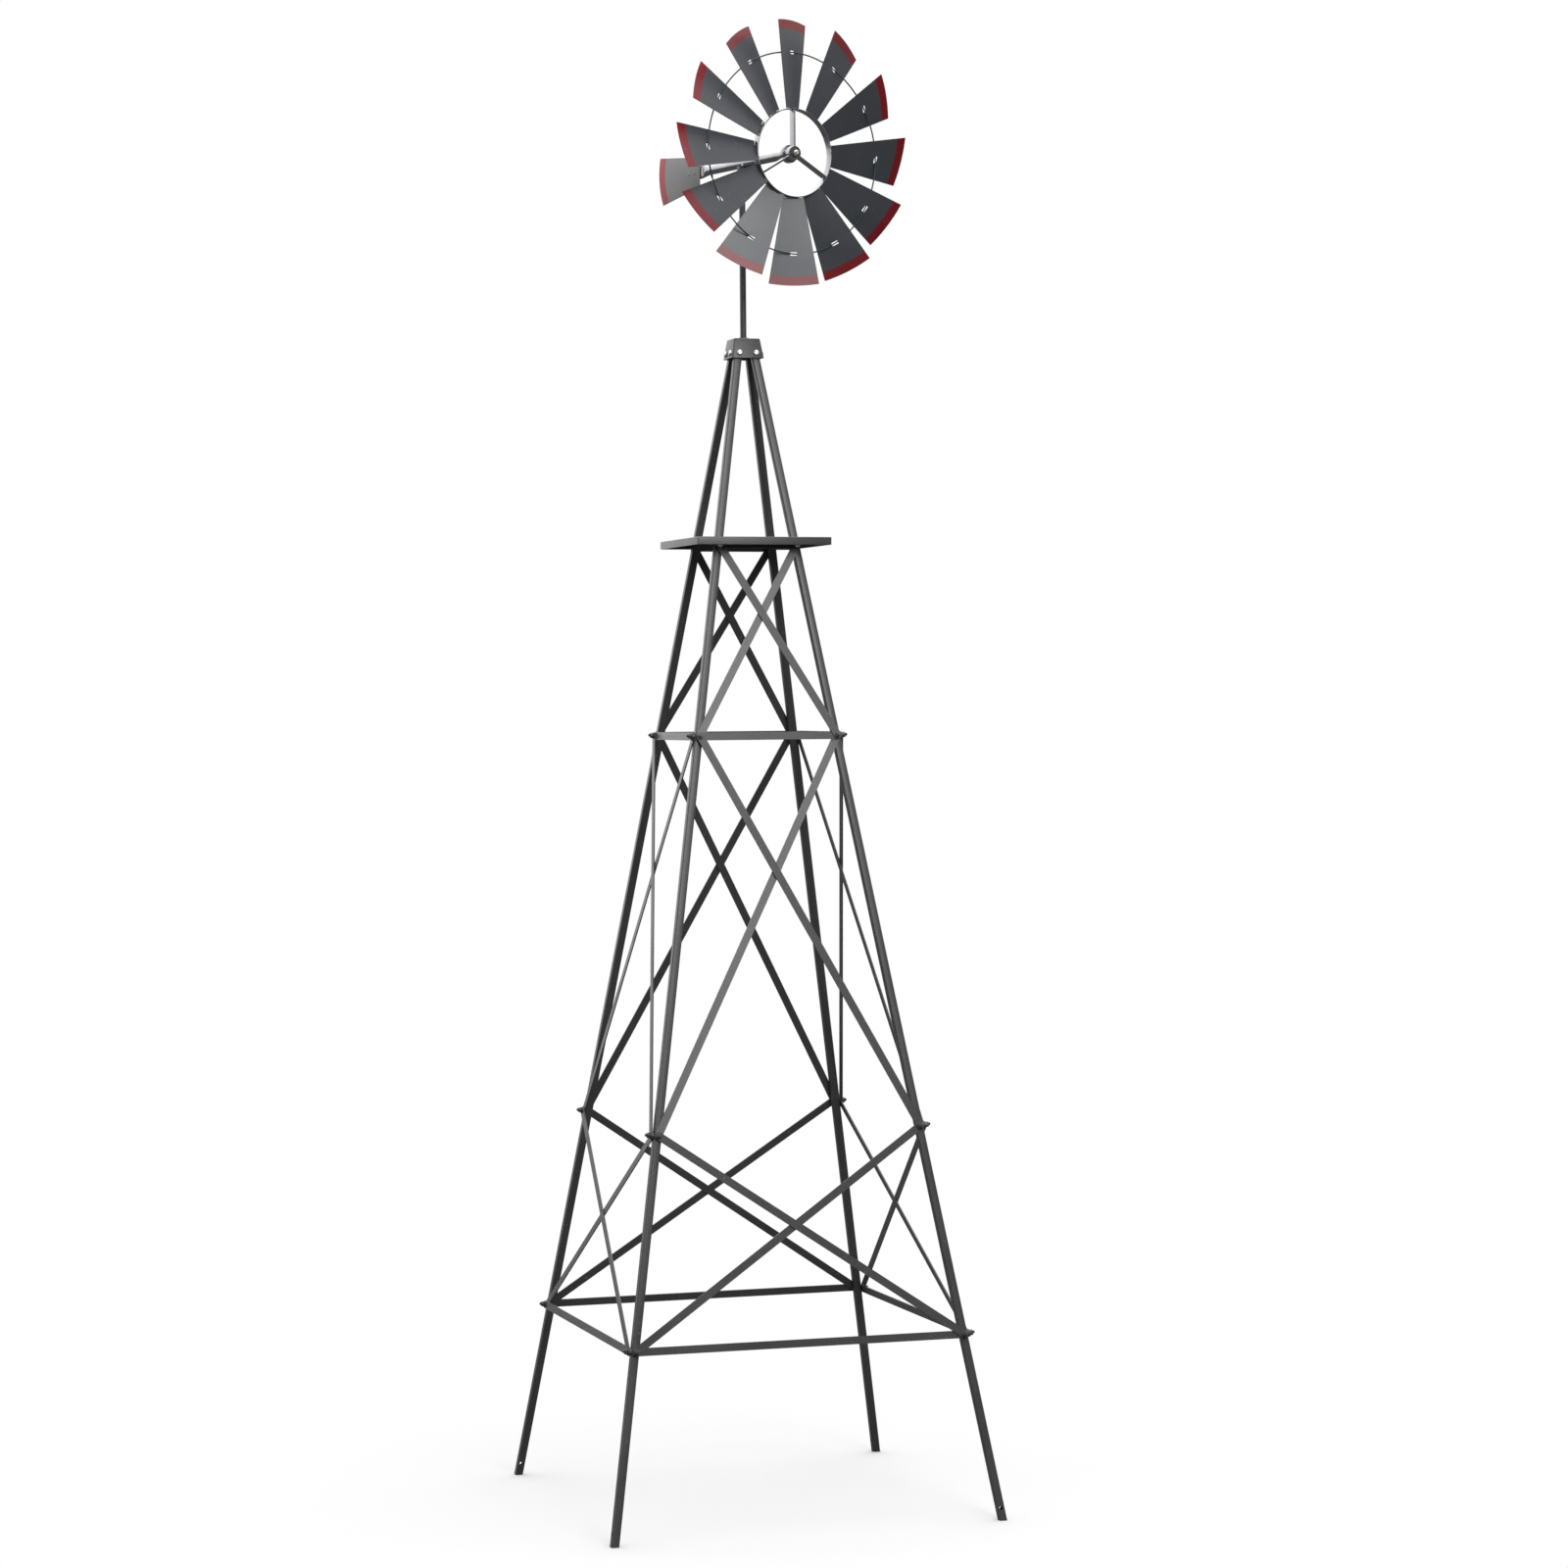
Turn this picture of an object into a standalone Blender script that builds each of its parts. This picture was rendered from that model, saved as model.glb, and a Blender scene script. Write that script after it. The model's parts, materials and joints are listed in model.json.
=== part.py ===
"""Ornamental garden windmill: a four-legged braced tower with a deck, and a head that turns to the wind.

Metres, +Z up, origin on the ground under the mast. The tower stands square to X and Y: its front is -Y.
The head carries the wheel ahead of the mast and the tail vane behind it. Two axes move: the head turns
about the mast, and the wheel spins on its axle bolt.
"""

import math

import bmesh
import bpy
from mathutils import Matrix, Vector

# Gap between pieces that touch, and sides of the round shapes
CLEARANCE = 0.0003
ROUND_SIDES = 24
HOLE_SIDES = 8

# Tower outline: the outer corners of the four legs lie on straight lines that would meet at the apex
BASE_HALF_WIDTH = 0.332
APEX_HEIGHT = 2.038

# Legs: square tube, measured level, with a closed foot and a stake hole near the ground
LEG_SIDE = 0.013
LEG_WALL = 0.0012
FOOT_THICKNESS = 0.002
STAKE_HOLE_HEIGHT = 0.020
STAKE_HOLE_DIAMETER = 0.0065

# Heights of the four rows of joints
LOWER_JOINT = 0.299
MIDDLE_JOINT = 0.636
UPPER_JOINT = 1.275
DECK_JOINT = 1.590

# Flat strips, stacked in layers outside the legs, and the bolt holes through their ends
STRIP_WIDTH = 0.0128
STRIP_THICKNESS = 0.002
STRIP_GAP = 0.0004
BOLT_HOLE_DIAMETER = 0.0055

# Deck: a square tray, rim down, on two edge-on bars
DECK_HALF_WIDTH = 0.115
DECK_SHEET = 0.0012
DECK_RIM = 0.0128
DECK_TOP = 1.6026
DECK_BAR_DROP = 0.006
DECK_LEG_GAP = 0.001

# Cap that gathers the leg tops and holds the mast
CAP_BOTTOM = 1.903
CAP_HEIGHT = 0.033
CAP_SHEET = 0.0018
CAP_LEG_GAP = 0.0038
CAP_BOLT_HEIGHT = 0.0075
CAP_HEADROOM = 0.004

# Mast tube
MAST_DIAMETER = 0.0106
MAST_WALL = 0.0015
MAST_DEPTH_IN_CAP = 0.028

# Head: its height on the mast, and where it points at rest
HEAD_HEIGHT = 2.2276
HEAD_TURN = math.radians(16.5)
BOOM_DIAMETER = 0.0156
BOOM_WALL = 0.0015
BOOM_FLATTEN_START = 0.100
BOOM_FLATTEN_END = 0.124
BOOM_TAIL_END = 0.172
TANG_THICKNESS = 0.003
TANG_HEIGHT = 0.022

# Swivel tee: an upright barrel under the boom, seated on the mast top. Its crown is below the boom's axis
TEE_DIAMETER = 0.0166
TEE_SKIRT = 0.038
TEE_CROWN = -0.003
TEE_WEB = 0.003

# Tail vane: a flat sheet riveted to the flattened end of the boom
VANE_SHEET = 0.0012
VANE_FRONT = 0.1265
VANE_FRONT_HALF_HEIGHT = 0.0253
VANE_REAR_TOP = (0.2518, 0.0372)
VANE_REAR_BOTTOM = (0.2436, -0.0442)
VANE_REAR_BULGE = 0.0076
RIVET_HOLE_DIAMETER = 0.0035
RIVETS_BEHIND_MAST = (0.143, 0.161)

# Wheel
WHEEL_FORWARD = 0.1526
BLADE_COUNT = 12
BLADE_SHEET = 0.001
BLADE_TIP_RADIUS = 0.2163
BLADE_TIP_CHORD = 0.085
BLADE_ROOT_CHORD = 0.0355
BLADE_TIP_PITCH = math.radians(25)
BLADE_ROOT_PITCH = math.radians(22)
RING_INNER_RADIUS = 0.0710
RING_SHEET = 0.0018
RING_DEPTH = 0.013
RING_SIDES = 48
WIRE_RADIUS = 0.1643
WIRE_DIAMETER = 0.0024
WIRE_SIDES = 8
SLOT_LENGTH = 0.0114
SLOT_WIDTH = 0.0058

# Wheel centre
AXLE_DIAMETER = 0.008
AXLE_HEAD_DIAMETER = 0.0095
AXLE_HEAD_HEIGHT = 0.0045
WASHER_DIAMETER = 0.015
WASHER_THICKNESS = 0.001
BUSH_WALL = 0.002
HUB_DIAMETER = 0.0236
HUB_LENGTH = 0.014
SPOKE_COUNT = 3
SPOKE_DEPTH = 0.012
SPOKE_THICKNESS = 0.0035
BEARING_FLANGE_DIAMETER = 0.030
BEARING_FLANGE_THICKNESS = 0.008
BEARING_PLUG_LENGTH = 0.025

# The tower's faces all lean in by the same angle; this is the front one's outward normal
FACE_LEAN = math.atan(BASE_HALF_WIDTH / APEX_HEIGHT)
FRONT_NORMAL = Vector((0, -math.cos(FACE_LEAN), math.sin(FACE_LEAN)))
FACES = ("front", "right", "back", "left")
LEG_TOP = CAP_BOTTOM + CAP_HEIGHT - CAP_SHEET - CAP_HEADROOM


def half_width(height):
    """Distance from the mast's axis to the legs' outer faces at a height."""
    return BASE_HALF_WIDTH * (1 - height / APEX_HEIGHT)


def quarter_turns(count):
    return Matrix.Rotation(count * math.pi / 2, 4, "Z")


def clear_scene():
    for old in list(bpy.data.objects):
        bpy.data.objects.remove(old)


def finish_material(name, color, roughness, metallic):
    material = bpy.data.materials.new(name)
    material.use_nodes = True
    shader = material.node_tree.nodes["Principled BSDF"]
    shader.inputs["Base Color"].default_value = (*color, 1)
    shader.inputs["Roughness"].default_value = roughness
    shader.inputs["Metallic"].default_value = metallic
    return material


def add_object(name, bm, material=None, parent=None, smooth=False):
    """Makes an object of a finished bmesh and frees it."""
    bmesh.ops.recalc_face_normals(bm, faces=bm.faces)
    mesh = bpy.data.meshes.new(name)
    bm.to_mesh(mesh)
    bm.free()
    if smooth:
        mesh.shade_smooth()
        mesh.set_sharp_from_angle(angle=math.radians(35))
    if material:
        mesh.materials.append(material)
    piece = bpy.data.objects.new(name, mesh)
    bpy.context.scene.collection.objects.link(piece)
    piece.parent = parent
    return piece


def add_empty(name, location, rotation=(0, 0, 0), parent=None):
    empty = bpy.data.objects.new(name, None)
    bpy.context.scene.collection.objects.link(empty)
    empty.location = location
    empty.rotation_euler = rotation
    empty.parent = parent
    return empty


def combine(piece, other, operation):
    """Adds other to piece, or cuts it away, and hides it as a guide."""
    modifier = piece.modifiers.new(other.name, "BOOLEAN")
    modifier.operation = operation
    modifier.object = other
    other.hide_render = True
    other.display_type = "WIRE"


def circle(radius, sides, center=(0, 0)):
    """Points round a circle, with flats rather than corners on the axes."""
    steps = [2 * math.pi * (i + 0.5) / sides for i in range(sides)]
    return [(center[0] + radius * math.cos(a), center[1] + radius * math.sin(a)) for a in steps]


def loft(rings):
    """A closed solid through rings of equal point counts, with a flat end on the first and the last."""
    bm = bmesh.new()
    loops = [[bm.verts.new(point) for point in ring] for ring in rings]
    for near, far in zip(loops, loops[1:]):
        for i in range(len(near)):
            j = (i + 1) % len(near)
            bm.faces.new((near[i], near[j], far[j], far[i]))
    bm.faces.new(loops[0])
    bm.faces.new(loops[-1])
    return bm


def extrude_outline(bm, outline, holes, thickness, place):
    """Adds a flat plate to bm: an outline and holes in (x, y), centred in thickness on z = 0."""
    first = len(bm.verts)
    edges = []
    for loop in (outline, *holes):
        verts = [bm.verts.new((x, y, -thickness / 2)) for x, y in loop]
        edges += [bm.edges.new(pair) for pair in zip(verts, verts[1:] + verts[:1])]
    filled = bmesh.ops.triangle_fill(bm, use_beauty=True, edges=edges)["geom"]
    faces = [f for f in filled if isinstance(f, bmesh.types.BMFace)]
    raised = bmesh.ops.extrude_face_region(bm, geom=faces, use_keep_orig=True)["geom"]
    top = [v for v in raised if isinstance(v, bmesh.types.BMVert)]
    bmesh.ops.translate(bm, verts=top, vec=(0, 0, thickness))
    bm.verts.ensure_lookup_table()
    bmesh.ops.transform(bm, matrix=place, verts=bm.verts[first:])


def turned(profile, sides=ROUND_SIDES, closed=True):
    """Spins (radius, height) points about Z. An open profile runs from axis to axis."""
    bm = bmesh.new()
    verts = [bm.verts.new((radius, 0, height)) for radius, height in profile]
    pairs = list(zip(verts, verts[1:]))
    if closed:
        pairs.append((verts[-1], verts[0]))
    edges = [bm.edges.new(pair) for pair in pairs]
    bmesh.ops.spin(bm, geom=verts + edges, axis=(0, 0, 1), cent=(0, 0, 0), angle=2 * math.pi,
                   steps=sides, use_merge=True)
    bmesh.ops.remove_doubles(bm, verts=bm.verts, dist=1e-6)
    return bm


def tube_profile(outer_radius, inner_radius, low, high):
    return [(outer_radius, low), (outer_radius, high), (inner_radius, high), (inner_radius, low)]


def add_rod_cutter(bm, start, end, diameter, sides=HOLE_SIDES):
    """Adds one round rod from start to end to a cutter."""
    start, end = Vector(start), Vector(end)
    along = end - start
    place = Matrix.Translation((start + end) / 2) @ along.to_track_quat("Z", "Y").to_matrix().to_4x4()
    bmesh.ops.create_cone(bm, cap_ends=True, segments=sides, radius1=diameter / 2, radius2=diameter / 2,
                          depth=along.length, matrix=place @ Matrix.Rotation(math.pi / sides, 4, "Z"))


# --- Tower ---------------------------------------------------------------------------------------


def leg_ring(height, inset, grow=0.0):
    """Corners of the front right leg's level section: inset shrinks it by a wall, grow widens it."""
    outer = half_width(height) - inset + grow
    inner = half_width(height) - LEG_SIDE + inset - grow
    return [(x, -y, height) for x, y in ((inner, inner), (outer, inner), (outer, outer), (inner, outer))]


def leg_center(height):
    return half_width(height) - LEG_SIDE / 2


def leg_cutter():
    """Holes of the front right leg: outer walls at the joints and the cap, through at the deck and foot."""
    bm = bmesh.new()
    for height in (LOWER_JOINT, MIDDLE_JOINT, UPPER_JOINT, CAP_BOTTOM + CAP_BOLT_HEIGHT):
        middle, outside = leg_center(height), half_width(height) + LEG_SIDE
        center = (middle, -middle, height)
        add_rod_cutter(bm, center, (middle, -outside, height), BOLT_HOLE_DIAMETER)
        add_rod_cutter(bm, center, (outside, -middle, height), BOLT_HOLE_DIAMETER)
    for height, diameter in ((DECK_JOINT, BOLT_HOLE_DIAMETER), (STAKE_HOLE_HEIGHT, STAKE_HOLE_DIAMETER)):
        middle = leg_center(height)
        reach = LEG_SIDE * 1.5
        add_rod_cutter(bm, (middle, reach - middle, height), (middle, -reach - middle, height), diameter)
    return bm


def build_legs(material):
    """Four legs, each the front right one turned by quarter turns, so their stake holes alternate."""
    names = ("leg_front_right", "leg_back_right", "leg_back_left", "leg_front_left")
    for turns, name in enumerate(names):
        sections = ((LEG_TOP, 0), (0, 0))
        hollow = ((FOOT_THICKNESS, LEG_WALL), (LEG_TOP, LEG_WALL))
        bore = [leg_ring(height, inset) for height, inset in hollow]
        skin = [leg_ring(height, inset) for height, inset in sections]
        leg = add_object(name, loft(bore + skin), material)
        cutter = add_object(name + "_holes", leg_cutter())
        for piece in (leg, cutter):
            piece.rotation_euler.z = turns * math.pi / 2
        combine(leg, cutter, "DIFFERENCE")
    turn_deck_holes()


def turn_deck_holes():
    """Deck bolts run front to back in every leg, so two of the turned cutters get theirs turned back."""
    for name in ("leg_back_right", "leg_front_left"):
        cutter = bpy.data.objects[name + "_holes"]
        bm = bmesh.new()
        bm.from_mesh(cutter.data)
        near = [v for v in bm.verts if abs(v.co.z - DECK_JOINT) < BOLT_HOLE_DIAMETER]
        middle = leg_center(DECK_JOINT)
        bmesh.ops.rotate(bm, verts=near, cent=(middle, -middle, DECK_JOINT),
                         matrix=Matrix.Rotation(math.pi / 2, 3, "Z"))
        bm.to_mesh(cutter.data)
        bm.free()


def strip(name, face, start, end, material, width=STRIP_WIDTH, edge_rise=0.0):
    """A flat bar on one of the tower's faces, from start to end, each a hole's (x, height, layer).

    Layer 1 lies against the legs and each further one lies outside the last. edge_rise widens the bar
    upwards only, for the bars that carry the deck.
    """
    pitch = STRIP_THICKNESS + STRIP_GAP
    ends = []
    for x, height, layer in (start, end):
        out = pitch * layer - STRIP_THICKNESS / 2
        ends.append(Vector((x, -half_width(height), height)) + out * FRONT_NORMAL)
    along = ends[1] - ends[0]
    side = FRONT_NORMAL.cross(along).normalized()
    normal = along.cross(side).normalized()
    axes = Matrix((along.normalized(), side, normal)).transposed().to_4x4()
    place = quarter_turns(FACES.index(face)) @ Matrix.Translation((ends[0] + ends[1]) / 2) @ axes
    half, radius = along.length / 2, width / 2
    outline = []
    for middle, first in ((half, -math.pi / 2), (-half, math.pi / 2)):
        for i in range(7):
            angle = first + math.pi * i / 6
            y = radius * math.sin(angle)
            outline.append((middle + radius * math.cos(angle), y + (edge_rise if y > 0 else 0)))
    holes = [circle(BOLT_HOLE_DIAMETER / 2, HOLE_SIDES, (middle, 0)) for middle in (-half, half)]
    bm = bmesh.new()
    extrude_outline(bm, outline, holes, STRIP_THICKNESS, place)
    return add_object(name, bm, material)


def build_bars(material):
    """Level bars: all round at the lower and upper joints, and under the deck front and back.

    Each row gives the layer of a bar's left end and of its right end, seen from outside its face.
    """
    rows = (
        ("lower", LOWER_JOINT, FACES, 2, 1),
        ("upper", UPPER_JOINT, ("front", "back"), 2, 2),
        ("upper", UPPER_JOINT, ("right", "left"), 1, 2),
    )
    for row, height, faces, left, right in rows:
        x = leg_center(height)
        for face in faces:
            strip(f"{row}_bar_{face}", face, (-x, height, left), (x, height, right), material)
    x = leg_center(DECK_JOINT)
    room = DECK_TOP - DECK_SHEET - STRIP_GAP - DECK_JOINT - 3 * (STRIP_THICKNESS + STRIP_GAP) * math.sin(FACE_LEAN)
    rise = room / math.cos(FACE_LEAN) - DECK_BAR_DROP
    for face in ("front", "back"):
        ends = (-x, DECK_JOINT, 3), (x, DECK_JOINT, 3)
        strip(f"deck_bar_{face}", face, *ends, material, 2 * DECK_BAR_DROP, rise)


def build_braces(material):
    """Crossed pairs. The one that rises to the right lies against the legs and the other outside it.

    Each bay gives the layer of the outer brace's foot and of its head.
    """
    bays = (
        ("lower", LOWER_JOINT, MIDDLE_JOINT, FACES, 2, 2),
        ("middle", MIDDLE_JOINT, UPPER_JOINT, ("front", "back"), 2, 3),
        ("middle", MIDDLE_JOINT, UPPER_JOINT, ("right", "left"), 2, 2),
        ("upper", UPPER_JOINT, DECK_JOINT, ("front", "back"), 3, 2),
    )
    for row, low, high, faces, foot, head in bays:
        bottom, top = leg_center(low), leg_center(high)
        for face in faces:
            strip(f"{row}_brace_{face}_inner", face, (-bottom, low, 1), (top, high, 1), material)
            strip(f"{row}_brace_{face}_outer", face, (bottom, low, foot), (-top, high, head), material)


def square_ring(half, height):
    return [(half, -half, height), (half, half, height), (-half, half, height), (-half, -half, height)]


def build_deck(material):
    """A tray with its rim down and a square opening for each leg."""
    inner = DECK_HALF_WIDTH - DECK_SHEET
    bottom = DECK_TOP - DECK_RIM
    deck = add_object("deck", loft([
        square_ring(inner, DECK_TOP - DECK_SHEET), square_ring(inner, bottom),
        square_ring(DECK_HALF_WIDTH, bottom), square_ring(DECK_HALF_WIDTH, DECK_TOP),
    ]), material)
    for turns in range(4):
        heights = (DECK_TOP - 2 * DECK_SHEET, DECK_TOP + DECK_SHEET)
        opening = add_object(f"deck_opening_{turns}", loft([leg_ring(h, 0, DECK_LEG_GAP) for h in heights]))
        opening.rotation_euler.z = turns * math.pi / 2
        combine(deck, opening, "DIFFERENCE")


def cap_half_width(height):
    return half_width(height) + CAP_LEG_GAP + CAP_SHEET


def build_cap(material):
    """A tapered box over the leg tops, open below, with a hole for the mast and two bolt holes a face."""
    top = CAP_BOTTOM + CAP_HEIGHT
    under = top - CAP_SHEET
    cap = add_object("cap", loft([
        square_ring(cap_half_width(under) - CAP_SHEET, under),
        square_ring(cap_half_width(CAP_BOTTOM) - CAP_SHEET, CAP_BOTTOM),
        square_ring(cap_half_width(CAP_BOTTOM), CAP_BOTTOM),
        square_ring(cap_half_width(top), top),
    ]), material)
    mast_hole = bmesh.new()
    add_rod_cutter(mast_hole, (0, 0, under - CAP_SHEET), (0, 0, top + CAP_SHEET),
                   MAST_DIAMETER + 4 * CLEARANCE, ROUND_SIDES)
    combine(cap, add_object("cap_mast_hole", mast_hole), "DIFFERENCE")
    height = CAP_BOTTOM + CAP_BOLT_HEIGHT
    x, near, far = leg_center(height), half_width(height), cap_half_width(height) + CAP_SHEET
    bolt_holes = bmesh.new()
    for turns in range(4):
        for side in (-x, x):
            ends = [quarter_turns(turns) @ Vector((side, -y, height)) for y in (near, far)]
            add_rod_cutter(bolt_holes, *ends, BOLT_HOLE_DIAMETER)
    combine(cap, add_object("cap_bolt_holes", bolt_holes), "DIFFERENCE")


def mast_top():
    """Underside of the solid web inside the swivel tee, less the running gap."""
    return HEAD_HEIGHT - BOOM_DIAMETER / 2 - CLEARANCE - TEE_WEB - CLEARANCE


def mast_bottom():
    """The mast reaches down between the leg tops, or stops above them where they leave it no room."""
    room = math.sqrt(2) * (half_width(LEG_TOP) - LEG_SIDE)
    if room < MAST_DIAMETER / 2 + CLEARANCE:
        return LEG_TOP + CLEARANCE
    return CAP_BOTTOM + CAP_HEIGHT - MAST_DEPTH_IN_CAP


def build_mast(material):
    outer = MAST_DIAMETER / 2
    tube = turned(tube_profile(outer, outer - MAST_WALL, mast_bottom(), mast_top()))
    add_object("mast", tube, material, smooth=True)


# --- Head: pieces are laid out from the head's own origin, where the boom crosses the mast's axis -----


def build_tee(head, material):
    """An upright barrel: the boom lies in the saddle on top, and the mast top seats in its blind bore."""
    radius = TEE_DIAMETER / 2
    bore = MAST_DIAMETER / 2 + CLEARANCE
    web = mast_top() + CLEARANCE - HEAD_HEIGHT
    profile = [
        (0, web), (bore, web), (bore, -TEE_SKIRT), (radius, -TEE_SKIRT), (radius, TEE_CROWN), (0, TEE_CROWN),
    ]
    tee = add_object("swivel_tee", turned(profile, closed=False), material, head, smooth=True)
    boom_hole = bmesh.new()
    add_rod_cutter(boom_hole, (0, -TEE_DIAMETER, 0), (0, TEE_DIAMETER, 0), BOOM_DIAMETER + 2 * CLEARANCE,
                   ROUND_SIDES)
    combine(tee, add_object("tee_boom_hole", boom_hole, parent=head), "DIFFERENCE")


def boom_ring(y, half_thickness, half_height, squareness=1.0):
    """A level-axis section: an ellipse, squared up towards a flat bar as squareness falls."""
    ring = []
    for i in range(ROUND_SIDES):
        angle = 2 * math.pi * (i + 0.5) / ROUND_SIDES
        c, s = math.cos(angle), math.sin(angle)
        x = half_thickness * math.copysign(abs(c) ** squareness, c)
        z = half_height * math.copysign(abs(s) ** squareness, s)
        ring.append((x, y, z))
    return ring


def boom_front():
    return -(WHEEL_FORWARD - HUB_LENGTH / 2 - 2 * CLEARANCE - BEARING_FLANGE_THICKNESS)


def build_boom(head, material):
    """A tube, bored from the front, whose tail end is pressed flat into a tang for the vane."""
    radius = BOOM_DIAMETER / 2
    bore = radius - BOOM_WALL
    rings = [boom_ring(y, bore, bore) for y in (BOOM_FLATTEN_START - BOOM_DIAMETER, boom_front())]
    rings.append(boom_ring(boom_front(), radius, radius))
    steps = 6
    for i in range(steps + 1):
        share = i / steps
        ease = share * share * (3 - 2 * share)
        y = BOOM_FLATTEN_START + share * (BOOM_FLATTEN_END - BOOM_FLATTEN_START)
        thickness = radius + ease * (TANG_THICKNESS / 2 - radius)
        height = radius + ease * (TANG_HEIGHT / 2 - radius)
        rings.append(boom_ring(y, thickness, height, 1 - 0.65 * ease))
    rings.append(boom_ring(BOOM_TAIL_END, TANG_THICKNESS / 2, TANG_HEIGHT / 2, 0.35))
    boom = add_object("boom", loft(rings), material, head, smooth=True)
    holes = bmesh.new()
    for y in RIVETS_BEHIND_MAST:
        add_rod_cutter(holes, (-TANG_HEIGHT, y, 0), (TANG_HEIGHT, y, 0), RIVET_HOLE_DIAMETER)
    combine(boom, add_object("boom_rivet_holes", holes, parent=head), "DIFFERENCE")


def build_vane(head, material):
    """A tapered sheet with a bowed rear edge, on the left of the boom's tang."""
    top, bottom = Vector(VANE_REAR_TOP), Vector(VANE_REAR_BOTTOM)
    outward = Vector((top.y - bottom.y, bottom.x - top.x)).normalized()
    steps = 10
    outline = [(VANE_FRONT, VANE_FRONT_HALF_HEIGHT)]
    for i in range(steps + 1):
        share = i / steps
        bow = 4 * share * (1 - share) * VANE_REAR_BULGE
        outline.append(tuple(top.lerp(bottom, share) + bow * outward))
    outline.append((VANE_FRONT, -VANE_FRONT_HALF_HEIGHT))
    holes = [circle(RIVET_HOLE_DIAMETER / 2, HOLE_SIDES, (y, 0)) for y in RIVETS_BEHIND_MAST]
    x = -(TANG_THICKNESS / 2 + CLEARANCE + VANE_SHEET / 2)
    axes = Matrix(((0, 1, 0), (0, 0, 1), (1, 0, 0))).transposed().to_4x4()
    bm = bmesh.new()
    extrude_outline(bm, outline, holes, VANE_SHEET, Matrix.Translation((x, 0, 0)) @ axes)
    add_object("tail_vane", bm, material, head)


def lay_forward(piece):
    """Turns a piece spun about Z so that its +Z end faces the wheel's front, -Y."""
    piece.rotation_euler.x = math.pi / 2


def build_bearing(head, material):
    """A flanged plug in the boom's front end, bored for the axle bolt."""
    bore = AXLE_DIAMETER / 2 + CLEARANCE
    plug = BOOM_DIAMETER / 2 - BOOM_WALL - CLEARANCE
    flange_back = -boom_front() + CLEARANCE
    flange_front = flange_back + BEARING_FLANGE_THICKNESS
    profile = [
        (bore, flange_front), (BEARING_FLANGE_DIAMETER / 2, flange_front),
        (BEARING_FLANGE_DIAMETER / 2, flange_back), (plug, flange_back),
        (plug, flange_back - BEARING_PLUG_LENGTH), (bore, flange_back - BEARING_PLUG_LENGTH),
    ]
    lay_forward(add_object("bearing_housing", turned(profile), material, head, smooth=True))


def build_axle(head, bolt_finish, washer_finish):
    """A bolt through the wheel's hub, with its head in front and a washer behind the head."""
    hub_front = WHEEL_FORWARD + HUB_LENGTH / 2
    seat = hub_front + 2 * CLEARANCE + WASHER_THICKNESS
    tail = -boom_front() - BEARING_PLUG_LENGTH
    shaft, rim = AXLE_DIAMETER / 2, AXLE_HEAD_DIAMETER / 2
    profile = [
        (0, tail), (shaft, tail), (shaft, seat), (rim, seat), (rim, seat + AXLE_HEAD_HEIGHT * 0.6),
        (rim * 0.75, seat + AXLE_HEAD_HEIGHT), (0, seat + AXLE_HEAD_HEIGHT),
    ]
    lay_forward(add_object("axle_bolt", turned(profile, closed=False), bolt_finish, head, smooth=True))
    back = hub_front + CLEARANCE
    washer = tube_profile(WASHER_DIAMETER / 2, shaft + CLEARANCE, back, back + WASHER_THICKNESS)
    lay_forward(add_object("axle_washer", turned(washer), washer_finish, head, smooth=True))


# --- Wheel: pieces are laid out from its centre, with its front facing -Y -----------------------------


def build_hub(wheel, frame_finish, bush_finish):
    """Hub barrel with three edge-on spokes welded to it, and the bush that turns on the axle bolt."""
    bush_bore = AXLE_DIAMETER / 2 + CLEARANCE
    bush_outer = bush_bore + BUSH_WALL
    half = HUB_LENGTH / 2
    barrel = turned(tube_profile(HUB_DIAMETER / 2, bush_outer + CLEARANCE, -half, half))
    hub = add_object("wheel_spider", barrel, frame_finish, wheel, smooth=True)
    lay_forward(hub)
    inside = HUB_DIAMETER / 2 - (HUB_DIAMETER / 2 - bush_outer) / 3
    outside = RING_INNER_RADIUS * math.cos(math.pi / RING_SIDES) - CLEARANCE
    spokes = bmesh.new()
    for i in range(SPOKE_COUNT):
        size = Matrix.Diagonal((SPOKE_THICKNESS, outside - inside, SPOKE_DEPTH, 1))
        turn = Matrix.Rotation(2 * math.pi * i / SPOKE_COUNT, 4, "Z")
        middle = Matrix.Translation((0, (inside + outside) / 2, 0))
        bmesh.ops.create_cube(spokes, size=1, matrix=turn @ middle @ size)
    arms = add_object("spider_spokes", spokes, parent=wheel)
    lay_forward(arms)
    combine(hub, arms, "UNION")
    bush = turned(tube_profile(bush_outer, bush_bore, -half, half))
    lay_forward(add_object("hub_bush", bush, bush_finish, wheel, smooth=True))


def build_rings(wheel, ring_finish, wire_finish):
    """The rolled band that the blade roots stand on, and the wire hoop threaded through the blades."""
    half = RING_DEPTH / 2
    band = turned(tube_profile(RING_INNER_RADIUS + RING_SHEET, RING_INNER_RADIUS, -half, half), RING_SIDES)
    lay_forward(add_object("inner_ring", band, ring_finish, wheel, smooth=True))
    section = [(WIRE_RADIUS + r, z) for r, z in circle(WIRE_DIAMETER / 2, WIRE_SIDES)]
    lay_forward(add_object("wire_hoop", turned(section, RING_SIDES), wire_finish, wheel, smooth=True))


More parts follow.
